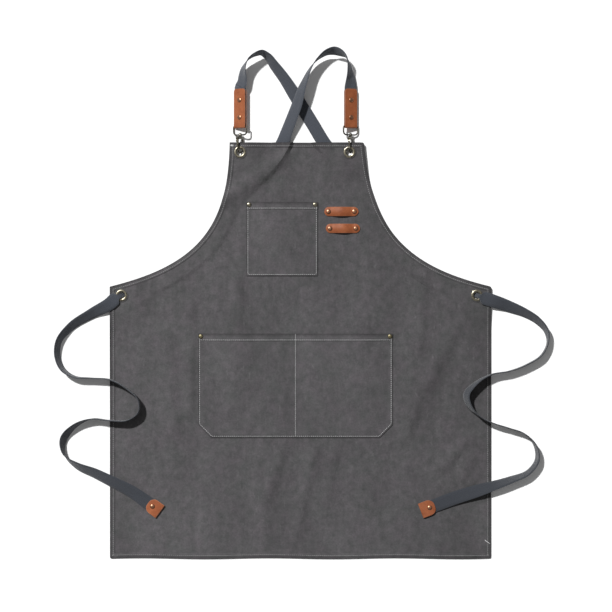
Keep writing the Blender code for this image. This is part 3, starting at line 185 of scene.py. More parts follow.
# Strap routes. Each group of numbers is one section of the webbing. Lean is in degrees: 0 lies flat
# with its front up, 90 stands on edge with its right side up, as seen along the strap.
# Shoulder: across from the middle of the bib grommets as a share of their distance, up from the
# bib's edge as a share of the shoulder reach, lean, lift of the lower edge as a share of the width
SHOULDER_ROUTES = {
    "left": [
        (-0.484, 0.624, 40, 0.13), (-0.474, 0.709, 54, 0.21), (-0.456, 0.799, 76, 0.42),
        (-0.419, 0.874, 90, 0.58), (-0.36, 0.923, 99, 0.55), (-0.298, 0.942, 108, 0.4),
        (-0.25, 0.909, 118, 0.27), (-0.188, 0.815, 134, 0.14), (-0.094, 0.672, 145, 0.05),
        (-0.003, 0.507, 160, 0.0), (0.054, 0.401, 167, 0.0), (0.158, 0.204, 166, 0.0),
        (0.266, 0.0, 170, 0.0),
    ],
    "right": [
        (0.51, 0.64, -38, 0.13), (0.504, 0.741, -64, 0.21), (0.49, 0.831, -79, 0.38),
        (0.469, 0.892, -92, 0.51), (0.426, 0.936, -112, 0.55), (0.366, 0.961, -123, 0.51),
        (0.299, 0.948, -112, 0.47), (0.231, 0.898, -98, 0.4), (0.172, 0.828, -86, 0.36),
        (0.129, 0.748, -76, 0.35), (0.091, 0.645, -64, 0.43), (0.055, 0.533, -50, 0.49),
        (0.025, 0.414, -38, 0.41), (-0.021, 0.273, -33, 0.24), (-0.067, 0.135, -27, 0.06),
        (-0.111, 0.0, -12, 0.0),
    ],
}

# Under the canvas: shares of the way across and down to the far waist grommet, lean
HIDDEN_ROUTES = {
    "left": [
        (0.092, 0.113, 178), (0.2, 0.25, 180), (0.284, 0.387, 180), (0.358, 0.531, 180),
        (0.456, 0.675, 180), (0.6, 0.812, 180), (0.797, 0.926, 180),
    ],
    "right": [
        (0.066, 0.113, -2), (0.168, 0.225, 0), (0.265, 0.323, 0), (0.338, 0.421, 0),
        (0.386, 0.546, 0), (0.466, 0.677, 0), (0.607, 0.808, 0), (0.812, 0.929, 0),
    ],
}

# Ties: out from the waist grommet as a share of the tie spread, down as a share of the tie drop,
# lean, and the share of the canvas edge's height that the strap lies on there
TIE_ROUTES = {
    "left": [
        (0.245, 0.027, 168, 1.2), (0.45, 0.05, 150, 0.1), (0.663, 0.077, 130, 0.0),
        (0.861, 0.116, 118, 0.0), (0.979, 0.163, 106, 0.0), (0.997, 0.211, 92, 0.0),
        (0.918, 0.268, 90, 0.0), (0.705, 0.314, 90, 0.0), (0.45, 0.345, 90, 0.2),
        (0.203, 0.359, 90, 1.1), (-0.01, 0.397, 100, 1.0), (-0.154, 0.453, 115, 1.0),
        (-0.095, 0.512, 105, 1.0), (0.068, 0.557, 90, 1.0), (0.217, 0.58, 90, 1.1),
        (0.45, 0.604, 90, 0.1), (0.691, 0.634, 90, 0.0), (0.836, 0.695, 100, 0.0),
        (0.847, 0.75, 104, 0.0), (0.741, 0.8, 106, 0.1), (0.465, 0.84, 118, 0.8),
        (0.218, 0.867, 133, 1.2), (-0.059, 0.896, 160, 1.0), (-0.314, 0.923, 172, 1.0),
        (-0.575, 0.955, 180, 1.0),
    ],
    "right": [
        (0.159, 0.037, 12, 1.2), (0.409, 0.081, 38, 0.1), (0.714, 0.143, 54, 0.0),
        (0.884, 0.21, 68, 0.0), (0.902, 0.275, 70, 0.0), (0.824, 0.337, 76, 0.0),
        (0.683, 0.368, 84, 0.0), (0.435, 0.376, 90, 0.2), (0.159, 0.383, 90, 1.1),
        (-0.089, 0.426, 90, 1.0), (-0.249, 0.48, 90, 1.0), (-0.244, 0.532, 90, 1.0),
        (-0.11, 0.566, 90, 1.0), (0.159, 0.569, 90, 1.1), (0.428, 0.562, 88, 0.2),
        (0.661, 0.595, 72, 0.0), (0.817, 0.656, 62, 0.0), (0.81, 0.722, 90, 0.0),
        (0.633, 0.773, 122, 0.0), (0.371, 0.809, 140, 0.7), (0.137, 0.846, 149, 1.2),
        (-0.166, 0.898, 164, 1.0), (-0.357, 0.942, 180, 1.0),
    ],
}

# Up through a waist grommet: along in hole radii, climb as a share of the half height of the pass
GROMMET_PASS = ((-1.55, -1.06), (-0.76, -1.0), (0.0, 0.0), (0.76, 1.0), (1.55, 1.06))
PASS_ROOM = 1.15

# Places worked out from the sizes
RIGHT = Vector((1, 0))
UP = Vector((0, 1))
UP_TAB = Vector((0.0, 1.0, 0.0))
UPWARD = Vector((0, 0, 1))
SIDES = ("left", "right")
OTHER_SIDE = {"left": "right", "right": "left"}
FAR_HOLES = {side: GROMMETS["waist_" + OTHER_SIDE[side]] for side in SIDES}
HALF_WIDTH = PANEL_WIDTH / 2
PANEL_HEIGHT = BIB_HEIGHT + SKIRT_LENGTH
BIB_LEFT = BIB_SHIFT - BIB_WIDTH / 2
BIB_RIGHT = BIB_SHIFT + BIB_WIDTH / 2
GROMMET_LIFTS = {name: BIB_LIFT if "bib" in name else WAIST_LIFT for name in GROMMETS}
BIB_MIDDLE = (GROMMETS["bib_left"].x + GROMMETS["bib_right"].x) / 2
BIB_SPAN = GROMMETS["bib_right"].x - GROMMETS["bib_left"].x
BARREL_RADIUS = GROMMET_HOLE_RADIUS + GROMMET_WALL
EYELET_RADIUS = BARREL_RADIUS + CLEARANCE
PATCH_RADIUS = GROMMET_RADIUS + 0.001
PLY_HALF_GAP = STRAP_THICKNESS / 2 + CLEARANCE
RIVET_HOLE = RIVET_SHANK + CLEARANCE
SEAT = CANVAS + CLEARANCE

# Rivets that go through the canvas
RIVETS = {}
for name, (corner, width, *_) in POCKETS.items():
    RIVETS[name + "_rivet_left"] = corner + (RIGHT - UP) * RIVET_INSET
    RIVETS[name + "_rivet_right"] = corner + RIGHT * (width - RIVET_INSET) - UP * RIVET_INSET
for name, centre in LOOPS.items():
    reach = RIGHT * (LOOP_LENGTH / 2 - LOOP_END)
    RIVETS[name + "_rivet_left"] = centre - reach
    RIVETS[name + "_rivet_right"] = centre + reach


def clamp(value):
    return max(0.0, min(1.0, value))


def rounded_step(value):
    value = clamp(value)
    return value * value * (3 - 2 * value)


def cubic(p0, p1, p2, p3, t):
    return (1 - t) ** 3 * p0 + 3 * (1 - t) ** 2 * t * p1 + 3 * (1 - t) * t ** 2 * p2 + t ** 3 * p3


def around(line):
    """Each point of a closed line with the next one."""
    return zip(line, line[1:] + line[:1])


def distance_to_line(point, start, end):
    """Distance from a point to a line piece, and the share of the piece where it is nearest."""
    run = end - start
    share = clamp((point - start).dot(run) / run.length_squared)
    return (point - (start + run * share)).length, share


def distance_to_outline(point, outline):
    return min(distance_to_line(point, a, b)[0] for a, b in around(outline))


def inside(point, outline):
    hit = False
    for a, b in around(outline):
        if (a.y > point.y) != (b.y > point.y):
            if point.x < a.x + (point.y - a.y) / (b.y - a.y) * (b.x - a.x):
                hit = not hit
    return hit


def inset(outline, amount):
    """The closed outline moved inward, with mitred corners."""
    moved = []
    for i, corner in enumerate(outline):
        into = (corner - outline[i - 1]).normalized()
        out = (outline[(i + 1) % len(outline)] - corner).normalized()
        normal = Vector((-into.y - out.y, into.x + out.x)).normalized()
        along = normal.dot(Vector((-into.y, into.x)))
        moved.append(corner + normal * amount / along)
    return moved


def circle(centre, radius, sides):
    turn = 2 * math.pi / sides
    return [centre + Vector((math.cos(i * turn), math.sin(i * turn))) * radius for i in range(sides)]


def corner_arc(corner, towards_a, towards_b, radius, steps=3):
    start = corner + towards_a * radius
    end = corner + towards_b * radius
    return [cubic(start, corner, corner, end, i / steps) for i in range(steps + 1)]


def straight(start, end, step):
    """The points between two places, without the places themselves."""
    count = max(1, round((end - start).length / step))
    return [start.lerp(end, i / count) for i in range(1, count)]


def densify(line):
    """The line with points close enough together to follow a curved surface."""
    dense = line[:1]
    for a, b in zip(line, line[1:]):
        dense += straight(a, b, LINE_STEP) + [a.lerp(b, 1.0)]
    return dense


def armhole(side):
    """Points of one armhole, from the bib down to the waist corner."""
    sign = -1 if side == "left" else 1
    bib_x = BIB_LEFT if side == "left" else BIB_RIGHT
    top_drop = 0.0 if side == "left" else BIB_CORNER_RADIUS
    top = Vector((bib_x, BIB_HEIGHT - top_drop))
    corner = Vector((sign * HALF_WIDTH, 0.0))
    bib_in, bib_down, waist_in, waist_up = ARMHOLES[side]
    width = abs(corner.x - top.x)
    first = top + Vector((sign * bib_in * width, -bib_down * top.y))
    second = corner + Vector((-sign * waist_in * width, waist_up * top.y))
    count = round(ARC_PER_CHORD * (corner - top).length / EDGE_STEP)
    return [cubic(top, first, second, corner, i / count) for i in range(count + 1)]


def panel_outline():
    """The outline of the canvas, anticlockwise from its lower left corner."""
    low_left = Vector((-HALF_WIDTH, -SKIRT_LENGTH))
    low_right = Vector((HALF_WIDTH, -SKIRT_LENGTH))
    points = corner_arc(low_left, UP, RIGHT, CORNER_RADIUS)
    for point in straight(points[-1], low_right - RIGHT * CORNER_RADIUS, EDGE_STEP):
        wave = math.sin(BOTTOM_WAVES * math.pi * (point.x / HALF_WIDTH + 1))
        points.append(point + UP * BOTTOM_WAVE * wave)
    points += corner_arc(low_right, -RIGHT, UP, CORNER_RADIUS)
    rising = armhole("right")[::-1]
    slope = (rising[1] - rising[0]).normalized()
    waist = corner_arc(rising[0], -UP, slope, CORNER_RADIUS)
    points += straight(points[-1], waist[0], EDGE_STEP) + waist + rising[1:-1]
    points += corner_arc(Vector((BIB_RIGHT, BIB_HEIGHT)), -UP, -RIGHT, BIB_CORNER_RADIUS)
    falling = armhole("left")
    points += straight(points[-1], falling[0], EDGE_STEP) + falling
    points += straight(points[-1], low_left + UP * CORNER_RADIUS, EDGE_STEP)
    return points


def spline(rows, steps):
    """A smooth curve through rows of (x, y, base, lean), eased by the distance between them."""
    spans = [math.dist(a[:3], b[:3]) for a, b in zip(rows, rows[1:])]
    slopes = []
    for i in range(len(rows)):
        near = [j for j in (i - 1, i) if 0 <= j < len(spans)]
        weights = [spans[2 * i - 1 - j] for j in near] if len(near) == 2 else [1.0]
        slope = []
        for k in range(len(rows[0])):
            rates = [(rows[j + 1][k] - rows[j][k]) / spans[j] for j in near]
            slope.append(sum(r * w for r, w in zip(rates, weights)) / sum(weights))
        slopes.append(slope)
    result = []
    for i, span in enumerate(spans):
        for step in range(steps):
            t = step / steps
            far = 3 * t ** 2 - 2 * t ** 3
            shares = (1 - far, (t ** 3 - 2 * t ** 2 + t) * span, far, (t ** 3 - t ** 2) * span)
            keys = zip(rows[i], slopes[i], rows[i + 1], slopes[i + 1])
            result.append([sum(s * v for s, v in zip(shares, key)) for key in keys])
    return result + [rows[-1]]


def frame_from(x_axis, y_axis, origin):
    z_axis = x_axis.cross(y_axis)
    columns = Matrix((x_axis, y_axis, z_axis)).transposed()
    return Matrix.Translation(origin) @ columns.to_4x4()


def tab_frame(side):
    """x across the leather, y up the strap, z out of its front, at the bar of the strap eye."""
    lean = math.radians(STRAP_LEANS[side])
    across = Vector((math.cos(lean), 0.0, math.sin(lean)))
    x, y = GROMMETS["bib_" + side]
    return frame_from(across, UP_TAB, Vector((x + HOOK_OFFSETS[side], y + EYE_BAR, AXIS_HEIGHT)))


def half_height(lean, width, thickness):
    """Half the height that a leaning section takes up."""
    tilt = math.radians(lean)
    return abs(math.sin(tilt)) * width / 2 + abs(math.cos(tilt)) * thickness / 2


def shoulder_rows(side):
    """From the top of the leather tab to the bib's edge."""
    start = tab_frame(side) @ Vector((0.0, TAB_LENGTH + TAB_LEAD, 0.0))
    lean = STRAP_LEANS[side]
    first = (start.x, start.y, start.z - half_height(lean, STRAP_WIDTH, STRAP_THICKNESS), lean)
    return [first] + [
        (BIB_MIDDLE + across * BIB_SPAN, BIB_HEIGHT + up * SHOULDER_REACH,
         CLEARANCE + lift * STRAP_WIDTH, lean) for across, up, lean, lift in SHOULDER_ROUTES[side]]


def hidden_rows(side):
    """From the bib's edge to just short of the far waist grommet, flat on the floor."""
    start = Vector((BIB_MIDDLE + SHOULDER_ROUTES[side][-1][0] * BIB_SPAN, BIB_HEIGHT))
    run = FAR_HOLES[side] - start
    return [(start.x + across * run.x, start.y + down * run.y, CLEARANCE, lean)
            for across, down, lean in HIDDEN_ROUTES[side]]


def grommet_rows(side, before, after, lean):
    """Up through the waist grommet: under its back flange, through the hole, over its front."""
    centre = FAR_HOLES[side]
    heading = (after - before).normalized()
    half = GATHER_THICKNESS / 2
    middle = WAIST_LIFT + HEM_THICKNESS / 2
    reach = HEM_THICKNESS / 2 + GROMMET_FLANGE + 2 * CLEARANCE + PASS_ROOM * half
    return [(*(centre + heading * along * GROMMET_HOLE_RADIUS), middle + climb * reach - half, lean)
            for along, climb in GROMMET_PASS]


def edge_height(point):
    """How far the canvas is lifted at a place near a grommet."""
    lifts = []
    for name, centre in GROMMETS.items():
        away = (point - centre).length - LIFT_FLAT
        lifts.append(GROMMET_LIFTS[name] * (1 - rounded_step(away / LIFT_RUN)))
    return max(lifts)


def tie_rows(side):
    """From the waist grommet to the leather end, free on the floor and on the canvas."""
    sign = 1 if side == "left" else -1
    centre = FAR_HOLES[side]
    rows = []
    for out, down, lean, over in TIE_ROUTES[side]:
        x = centre.x + sign * out * TIE_SPREAD
        y = centre.y - down * TIE_DROP
        canvas = HEM_THICKNESS + edge_height(Vector((x, y)))
        rows.append((x, y, CLEARANCE + over * canvas, lean))
    rows[-1] = (x, y, CANVAS + 2 * CLEARANCE + TAB_LEATHER, lean)
    return rows


def section(centre, lean, tangent, width=STRAP_WIDTH, thickness=STRAP_THICKNESS):
    """One cross section: centre, across, out of its front, half width and half thickness."""
    flat = Vector((tangent.x, tangent.y, 0.0)).normalized()
    right = Vector((flat.y, -flat.x, 0.0))
    tilt = math.radians(lean)
    across = right * math.cos(tilt) + UPWARD * math.sin(tilt)
    across = (across - tangent * across.dot(tangent)).normalized()
    return centre, across, across.cross(tangent).normalized(), width / 2, thickness / 2


def gathered(share):
    """Width and thickness of the webbing, from bunched in a grommet (0) to spread flat (1)."""
    width = GATHER_WIDTH + (STRAP_WIDTH - GATHER_WIDTH) * share
    return width, GATHER_THICKNESS + (STRAP_THICKNESS - GATHER_THICKNESS) * share


def strap_route(side):
    """All sections of one strap, from inside its leather tab to inside its leather end."""
    hole = FAR_HOLES[side]
    shoulder = shoulder_rows(side)
    hidden = hidden_rows(side)
    ties = tie_rows(side)
    through = grommet_rows(side, Vector(hidden[-1][:2]), Vector(ties[1][:2]), hidden[-1][3])
    rows = spline(shoulder + hidden + through + ties, ROUTE_STEPS)
    points = []
    sizes = []
    for i, (x, y, base, lean) in enumerate(rows):
        away = (Vector((x, y)) - hole).length - GATHER_START * GROMMET_HOLE_RADIUS
        past_bib = i > ROUTE_STEPS * len(shoulder)
        size = gathered(rounded_step(away / GATHER_RUN) if past_bib else 1.0)
        points.append(Vector((x, y, max(base, CLEARANCE) + half_height(lean, *size))))
        sizes.append(size)
    result = []
    for reach in (EYE_WIRE + TAB_LEAD, TAB_LENGTH / 2):
        place = tab_frame(side) @ Vector((0.0, reach, 0.0))
        result.append(section(place, STRAP_LEANS[side], UP_TAB))
    last = len(rows) - 1
    for i, row in enumerate(rows):
        tangent = (points[min(i + 1, last)] - points[max(i - 1, 0)]).normalized()
        if i == 0:
            tangent = UP_TAB
        if i == last:
            tangent = Vector((tangent.x, tangent.y, 0.0)).normalized()
        result.append(section(points[i], row[3], tangent, *sizes[i]))
    reach = TAB_LEAD + END_TAB_LENGTH - PLY_HALF_GAP - TAB_LEATHER - CLEARANCE
    for share in (0.5, 1.0):
        result.append(section(points[-1] + tangent * reach * share, rows[-1][3], tangent))
    return result


def hidden_sections(side):
    """The places where the strap lies under the canvas, with the height of its upper side."""
    hole = FAR_HOLES[side]
    found = []
    started = False
    cuts = STRAPS[side][len(SHOULDER_ROUTES[side]):]
    for centre, across, front, half_width, half_thickness in cuts:
        started = started or centre.y < BIB_HEIGHT + STRAP_WIDTH / 2
        if not started:
            continue
        if (centre.xy - hole).length < GROMMET_RADIUS:
            break
        top = centre.z + abs(across.z) * half_width + abs(front.z) * half_thickness
        found.append((centre.xy, top + 2 * CLEARANCE))
    return found


def strap_lift(point, side):
    """How far the strap below lifts the canvas: flat over the webbing, sloping off beside it."""
    found = []
    for (a, a_top), (b, b_top) in zip(HIDDEN[side], HIDDEN[side][1:]):
        away, share = distance_to_line(point, a, b)
        found.append((away, a_top + (b_top - a_top) * share))
    away, top = min(found)
    return top * (1 - clamp((away - STRAP_WIDTH / 2 - LIFT_BAND) / LIFT_FOOT))


def fold_end(across, up):
    return Vector((across * HALF_WIDTH, up * (BIB_HEIGHT if up > 0 else SKIRT_LENGTH)))


def fold_rise(point):
    """Soft ridges where the canvas doesn't lie quite flat."""
    height = 0.0
    for x0, y0, x1, y1, width, rise in FOLDS:
        away, _ = distance_to_line(point, fold_end(x0, y0), fold_end(x1, y1))
        half = width * BIB_WIDTH
        if away < half:
            height += rise * BIB_WIDTH * (1 - (away / half) ** 2) ** 2
    return height


def drape(point):
    """Height of the canvas's back face above the floor."""
    straps = max(strap_lift(point, side) for side in SIDES)
    return max(straps, edge_height(point)) + fold_rise(point)


def band_lines(side):
    """Lines beside a hidden strap where the lifted canvas bends."""
    places = [place for place, _ in HIDDEN[side]]
    lines = []
    for offset in (STRAP_WIDTH / 2 + LIFT_BAND, STRAP_WIDTH / 2 + LIFT_BAND + LIFT_FOOT):
        for sign in (-1, 1):
            line = []
            for j in range(0, len(places), 2):
                run = places[min(j + 1, len(places) - 1)] - places[max(j - 1, 0)]
                normal = Vector((-run.y, run.x)).normalized()
                line.append(places[j] + normal * sign * offset)
            lines.append(line)
    return lines


def canvas_thickness(point):
    patch = min((point - centre).length for centre in GROMMETS.values()) - PATCH_RADIUS
    edge = distance_to_outline(point, OUTLINE) - HEM_WIDTH
    return HEM_THICKNESS if min(patch, edge) < HEM_SLOPE / 2 else CANVAS


def panel_top(point):
    return drape(point) + canvas_thickness(point)


OUTLINE = panel_outline()
STRAPS = {side: strap_route(side) for side in SIDES}
HIDDEN = {side: hidden_sections(side) for side in SIDES}


def grid_points(keep_clear):
    """Staggered points over the canvas, away from its hems, lifts and holes."""
    points = []
    rows = round(PANEL_HEIGHT / GRID_STEP)
    columns = round(PANEL_WIDTH / GRID_STEP)
    for j in range(rows):
        for i in range(columns + 1):
            x = -HALF_WIDTH + (i + 0.5 * (j % 2)) * PANEL_WIDTH / columns
            point = Vector((x, -SKIRT_LENGTH + (j + 0.5) * PANEL_HEIGHT / rows))
            margin = HEM_WIDTH + HEM_SLOPE + GRID_STEP / 4
            if inside(point, OUTLINE) and distance_to_outline(point, OUTLINE) >= margin:
                if all((point - other).length >= GRID_STEP / 3 for other in keep_clear):
                    points.append(point)
    return points


def panel_mesh():
    """The canvas body: one sheet with a turned hem, punched for its grommets and rivets."""
    points = []
    edges = []

    def add_line(line, closed=True):
        first = len(points)
        points.extend(line)
        edges.extend((first + i, first + i + 1) for i in range(len(line) - 1))
        if closed:
            edges.append((len(points) - 1, first))

    for amount in (0.0, HEM_WIDTH, HEM_WIDTH + HEM_SLOPE):
        add_line(inset(OUTLINE, amount))
    holes = []
    for centre in GROMMETS.values():
        holes.append((centre, EYELET_RADIUS))
        for radius in (EYELET_RADIUS, PATCH_RADIUS, PATCH_RADIUS + HEM_SLOPE):
            add_line(circle(centre, radius, ROUND_SIDES))
    for centre in RIVETS.values():
        holes.append((centre, RIVET_HOLE))
        add_line(circle(centre, RIVET_HOLE, RIVET_SIDES))
    for side in SIDES:
        for line in band_lines(side):
            add_line(line, False)
    corner, width, height, *_ = POCKETS["lower_pocket"]
    low = corner - UP * height
    pocket = [low, low + RIGHT * width, corner + RIGHT * width, corner]
    add_line(inset(pocket, -HEM_SLOPE))
    points.extend(grid_points(list(points)))
    flat, _, faces, *_ = delaunay_2d_cdt(points, edges, [], 0, TINY, True)
    flat = [Vector(p) for p in flat]
    kept = []
    for face in faces:
        a, b, c = (flat[i] for i in face)
        middle = sum((a, b, c), Vector((0, 0))) / 3
        area = (b - a).cross(c - a)
        if abs(area) > 1e-10 and inside(middle, OUTLINE):
            if all((middle - centre).length >= radius for centre, radius in holes):
                kept.append(face if area > 0 else face[::-1])
    bm = bmesh.new()
    upper = {}
    lower = {}
    for i in sorted({i for face in kept for i in face}):
        x, y = flat[i]
        base = drape(flat[i])
        lower[i] = bm.verts.new((x, y, base))
        upper[i] = bm.verts.new((x, y, base + canvas_thickness(flat[i])))
    directed = set()
    for a, b, c in kept:
        bm.faces.new((upper[a], upper[b], upper[c]))
        bm.faces.new((lower[c], lower[b], lower[a]))
        directed.update(((a, b), (b, c), (c, a)))
    for a, b in directed:
        if (b, a) not in directed:
            bm.faces.new((lower[a], lower[b], upper[b], upper[a]))
    return bm


def skin(bm, rings):
    """Faces between neighbouring rings of corners, in order; a ring of one corner is a tip."""
    made = []
    for a, b in zip(rings, rings[1:]):
        sides = max(len(a), len(b))
        for i in range(sides):
            j = (i + 1) % sides
            corners = (a[i % len(a)], a[j % len(a)], b[j % len(b)], b[i % len(b)])
            made.append(bm.faces.new(list(dict.fromkeys(corners))))
    return made


def sheet_body(across, levels, place, top, bottom):
    """A closed sheet over a grid: place gives x and y, top and bottom give the two heights."""
    bm = bmesh.new()
    rings = []
    for v in levels:
        corners = [(*place(u, v), top(u, v)) for u in across]
        corners += [(*place(u, v), bottom(u, v)) for u in across[::-1]]
        rings.append([bm.verts.new(corner) for corner in corners])
    skin(bm, rings)
    for ring in (rings[0], rings[-1]):
        for i in range(len(across) - 1):
            bm.faces.new((ring[i], ring[i + 1], ring[-2 - i], ring[-1 - i]))
    return bm


class Look:
    """A material in the making. Its patterns are functions of a place on the piece."""

    def __init__(self, name, coordinates="Object"):
        self.material = bpy.data.materials.new(name)
        self.material.use_nodes = True
        self.tree = self.material.node_tree
        self.place = self.node("TexCoord").outputs[coordinates]

    def put(self, socket, value):
        """Links another node's output to the socket, or sets the socket's own value."""
        if isinstance(value, bpy.types.NodeSocket):
            self.tree.links.new(value, socket)
        else:
            socket.default_value = (*value, 1.0) if socket.type == "RGBA" else value

    def fill(self, made, inputs):
        for name, value in inputs.items():
            self.put(made.inputs[name.replace("_", " ")], value)

    def node(self, kind, **inputs):
        made = self.tree.nodes.new("ShaderNode" + kind)
        self.fill(made, inputs)
        return made

    def ramp(self, source, *stops):
        """The source turned into two tones, each stop a place and a colour or a grey level."""
        made = self.node("ValToRGB", Fac=source)
        for element, (place, tone) in zip(made.color_ramp.elements, stops):
            element.position = place
            element.color = (*tone, 1.0) if isinstance(tone, tuple) else (tone, tone, tone, 1.0)
        return made.outputs["Color"]

    def mix(self, factor, first, second, kind="MULTIPLY"):
        made = self.node("Mix")
        made.data_type = "RGBA"
        made.blend_type = kind
        for index, value in ((0, factor), (6, first), (7, second)):
            self.put(made.inputs[index], value)
        return made.outputs[2]

    def noise(self, scale, detail=3.0, roughness=0.6, stretch=None):
        place = self.place
        if stretch:
            place = self.node("Mapping", Vector=place, Scale=stretch).outputs["Vector"]
        made = self.node("TexNoise", Vector=place, Scale=scale, Detail=detail, Roughness=roughness)
        return made.outputs["Fac"]

    def wave(self, scale, direction, distortion=0.0):
        made = self.node("TexWave", Vector=self.place, Scale=scale, Distortion=distortion)
        made.wave_type = "BANDS"
        made.bands_direction = direction
        return made.outputs["Fac"]

    def painted_light_falloff(self, colour, low, high, axis="X", length=PANEL_WIDTH):
        """Painted light: the colour with a slow change of tone along an axis, from low to high side,
        standing in for light that falls off across the piece.
        """
        solid = self.node("TexCoord").outputs["Object"]
        level = self.node("Math")
        level.operation = "MULTIPLY_ADD"
        values = (self.node("SeparateXYZ", Vector=solid).outputs[axis], 1 / length, 0.5)
        for socket, value in zip(level.inputs, values):
            self.put(socket, value)
        return self.mix(1.0, colour, self.ramp(level.outputs[0], (0.0, low), (1.0, high)))

    def finish(self, *bumps, **inputs):
        """Sets the shader's sockets and chains bumps of (height, strength, distance) into it."""
        for height, strength, distance in bumps:
            bump = self.node("Bump", Height=height, Strength=strength, Distance=distance)
            if "Normal" in inputs:
                self.put(bump.inputs["Normal"], inputs["Normal"])
            inputs["Normal"] = bump.outputs["Normal"]
        self.fill(self.tree.nodes["Principled BSDF"], inputs)
        return self.material


CANVAS_TINT = (0.07, 0.0672, 0.0695)


def canvas_material(name, tone):
    """Grey waxed canvas: plain weave, cloudy wax, pale rubs, painted light falling off from left to right
    and painted shade along its turned edges.
    """
    look = Look(name)

    def shade(level):
        return tuple(level * (tone * v) for v in CANVAS_TINT)

    colour = look.ramp(look.noise(15.0, 4.0, 0.6, (1.0, 0.38, 1.0)),
                       (0.3, shade(0.84)), (0.7, shade(1.16)))
    mottle = look.ramp(look.noise(75.0, 7.0, 0.7), (0.32, (0.74, 0.78, 0.76)), (0.7, (1.27, 1.22, 1.26)))
    colour = look.mix(0.9, colour, mottle)
    tint = look.ramp(look.noise(24.0), (0.35, (0.98, 1.01, 0.99)), (0.65, (1.02, 0.99, 1.015)))
    colour = look.mix(1.0, colour, tint)
    # Painted light: the canvas is lighter on the left and darker on the right, as if the lamp stood to the
    # left.
    colour = look.painted_light_falloff(colour, 1.08, 0.84)
    colour = look.mix(0.7, colour, look.ramp(look.noise(420.0, 3.0, 0.7), (0.25, 0.72), (0.75, 1.25)))
    slub = look.ramp(look.noise(150.0, 3.0, 0.6, (1.0, 0.22, 1.0)), (0.3, 0.9), (0.7, 1.1))
    colour = look.mix(0.6, colour, slub)
    rubs = look.ramp(look.noise(95.0, 7.0, 0.74, (1.0, 0.4, 1.0)), (0.6, 0.0), (0.74, 0.55))
    colour = look.mix(rubs, colour, shade(1.9), "MIX")
    # Painted shade: darker near the edge of the cloth, where the turned edge curves down and casts a thin
    # shadow; the mask is the hem attribute.
    hem = look.node("Attribute")
    hem.attribute_name = "hem"
    colour = look.mix(1.0, colour, look.ramp(hem.outputs["Fac"], (0.0, 1.0), (1.0, 0.55)))
    return look.finish(
        (look.noise(30.0, 4.0), 0.4, 0.004), (look.noise(150.0), 0.4, 0.0006),
        (look.wave(310.0, "X", 0.6), 0.3, 0.0003), (look.wave(290.0, "Y", 0.6), 0.3, 0.0003),
        Base_Color=colour, Roughness=0.8, Specular_IOR_Level=0.22, Sheen_Weight=0.05,
        Sheen_Roughness=0.6)


def webbing_material():
    """Blue-grey cotton webbing with fine ribs across it, by its own length and width; painted light makes
    it darker to the right and painted shade makes it darker low down on the ties.
    """
    look = Look("cotton_webbing", "UV")
    ribs = look.wave(240.0, "X", 0.8)
    rows = look.wave(330.0, "Y", 0.5)
    tint = look.ramp(ribs, (0.15, (0.038, 0.043, 0.054)), (0.85, (0.086, 0.095, 0.114)))
    colour = look.mix(0.8, tint, look.ramp(look.noise(900.0, 2.0), (0.3, 0.75), (0.75, 1.25)))
    colour = look.mix(0.5, colour, look.ramp(rows, (0.1, 0.8), (0.9, 1.15)))
    # Painted light and shade: the webbing is darker to the right and darker low down on the ties, where
    # less light falls.
    colour = look.painted_light_falloff(colour, 1.02, 0.78)
    colour = look.painted_light_falloff(colour, 0.68, 1.06, "Y", 2 * BIB_HEIGHT)
    return look.finish((ribs, 0.6, 0.0004), (rows, 0.4, 0.0003), Base_Color=colour,
                       Roughness=0.85, Specular_IOR_Level=0.25, Sheen_Weight=0.2)


def leather_material(name, colour, pale):
    """Tan leather: pores, soft colour clouds, a slight shine and painted light that falls off from left to
    right.
    """
    look = Look(name)
    cloud = look.ramp(look.noise(70.0, 4.0), (0.3, colour), (0.75, pale))
    pores = look.node("TexVoronoi", Vector=look.place, Scale=1100.0).outputs["Distance"]
    speck = look.ramp(look.noise(600.0), (0.3, 0.82), (0.7, 1.12))
    # Painted light: the leather is lighter on the left and darker on the right.
    hide = look.painted_light_falloff(look.mix(0.8, cloud, speck), 1.08, 0.82)
    return look.finish((look.noise(190.0), 0.25, 0.0005), (pores, 0.25, 0.0002),
                       Base_Color=hide, Roughness=0.55, Specular_IOR_Level=0.24)


def metal_material(name, colour, dark, roughness):
    """Old plated metal: darker and rougher in patches, with fine scratches."""
    look = Look(name)
    patch = look.noise(380.0, 4.0, 0.65)
    scratches = look.noise(900.0, 3.0, 0.6, (1.0, 0.2, 1.0))
    return look.finish((scratches, 0.15, 0.0001), Metallic=1.0,
                       Base_Color=look.ramp(patch, (0.35, dark), (0.65, colour)),
                       Roughness=look.ramp(patch, (0.3, roughness + 0.15), (0.7, roughness)))


def thread_material(name, tone):
    """Pale grey twisted thread."""
    look = Look(name)
    tint = look.ramp(look.noise(260.0, 2.0), (0.3, 0.38 * tone), (0.7, 0.56 * tone))
    return look.finish((look.wave(900.0, "DIAGONAL"), 0.5, 0.0002), Base_Color=tint, Roughness=0.8)


CANVAS_LOOK = canvas_material("waxed_canvas", 1.0)
POCKET_LOOK = canvas_material("pocket_canvas", 1.03)
WEBBING_LOOK = webbing_material()
LEATHER_LOOK = leather_material("tan_leather", (0.225, 0.062, 0.022), (0.32, 0.1, 0.038))
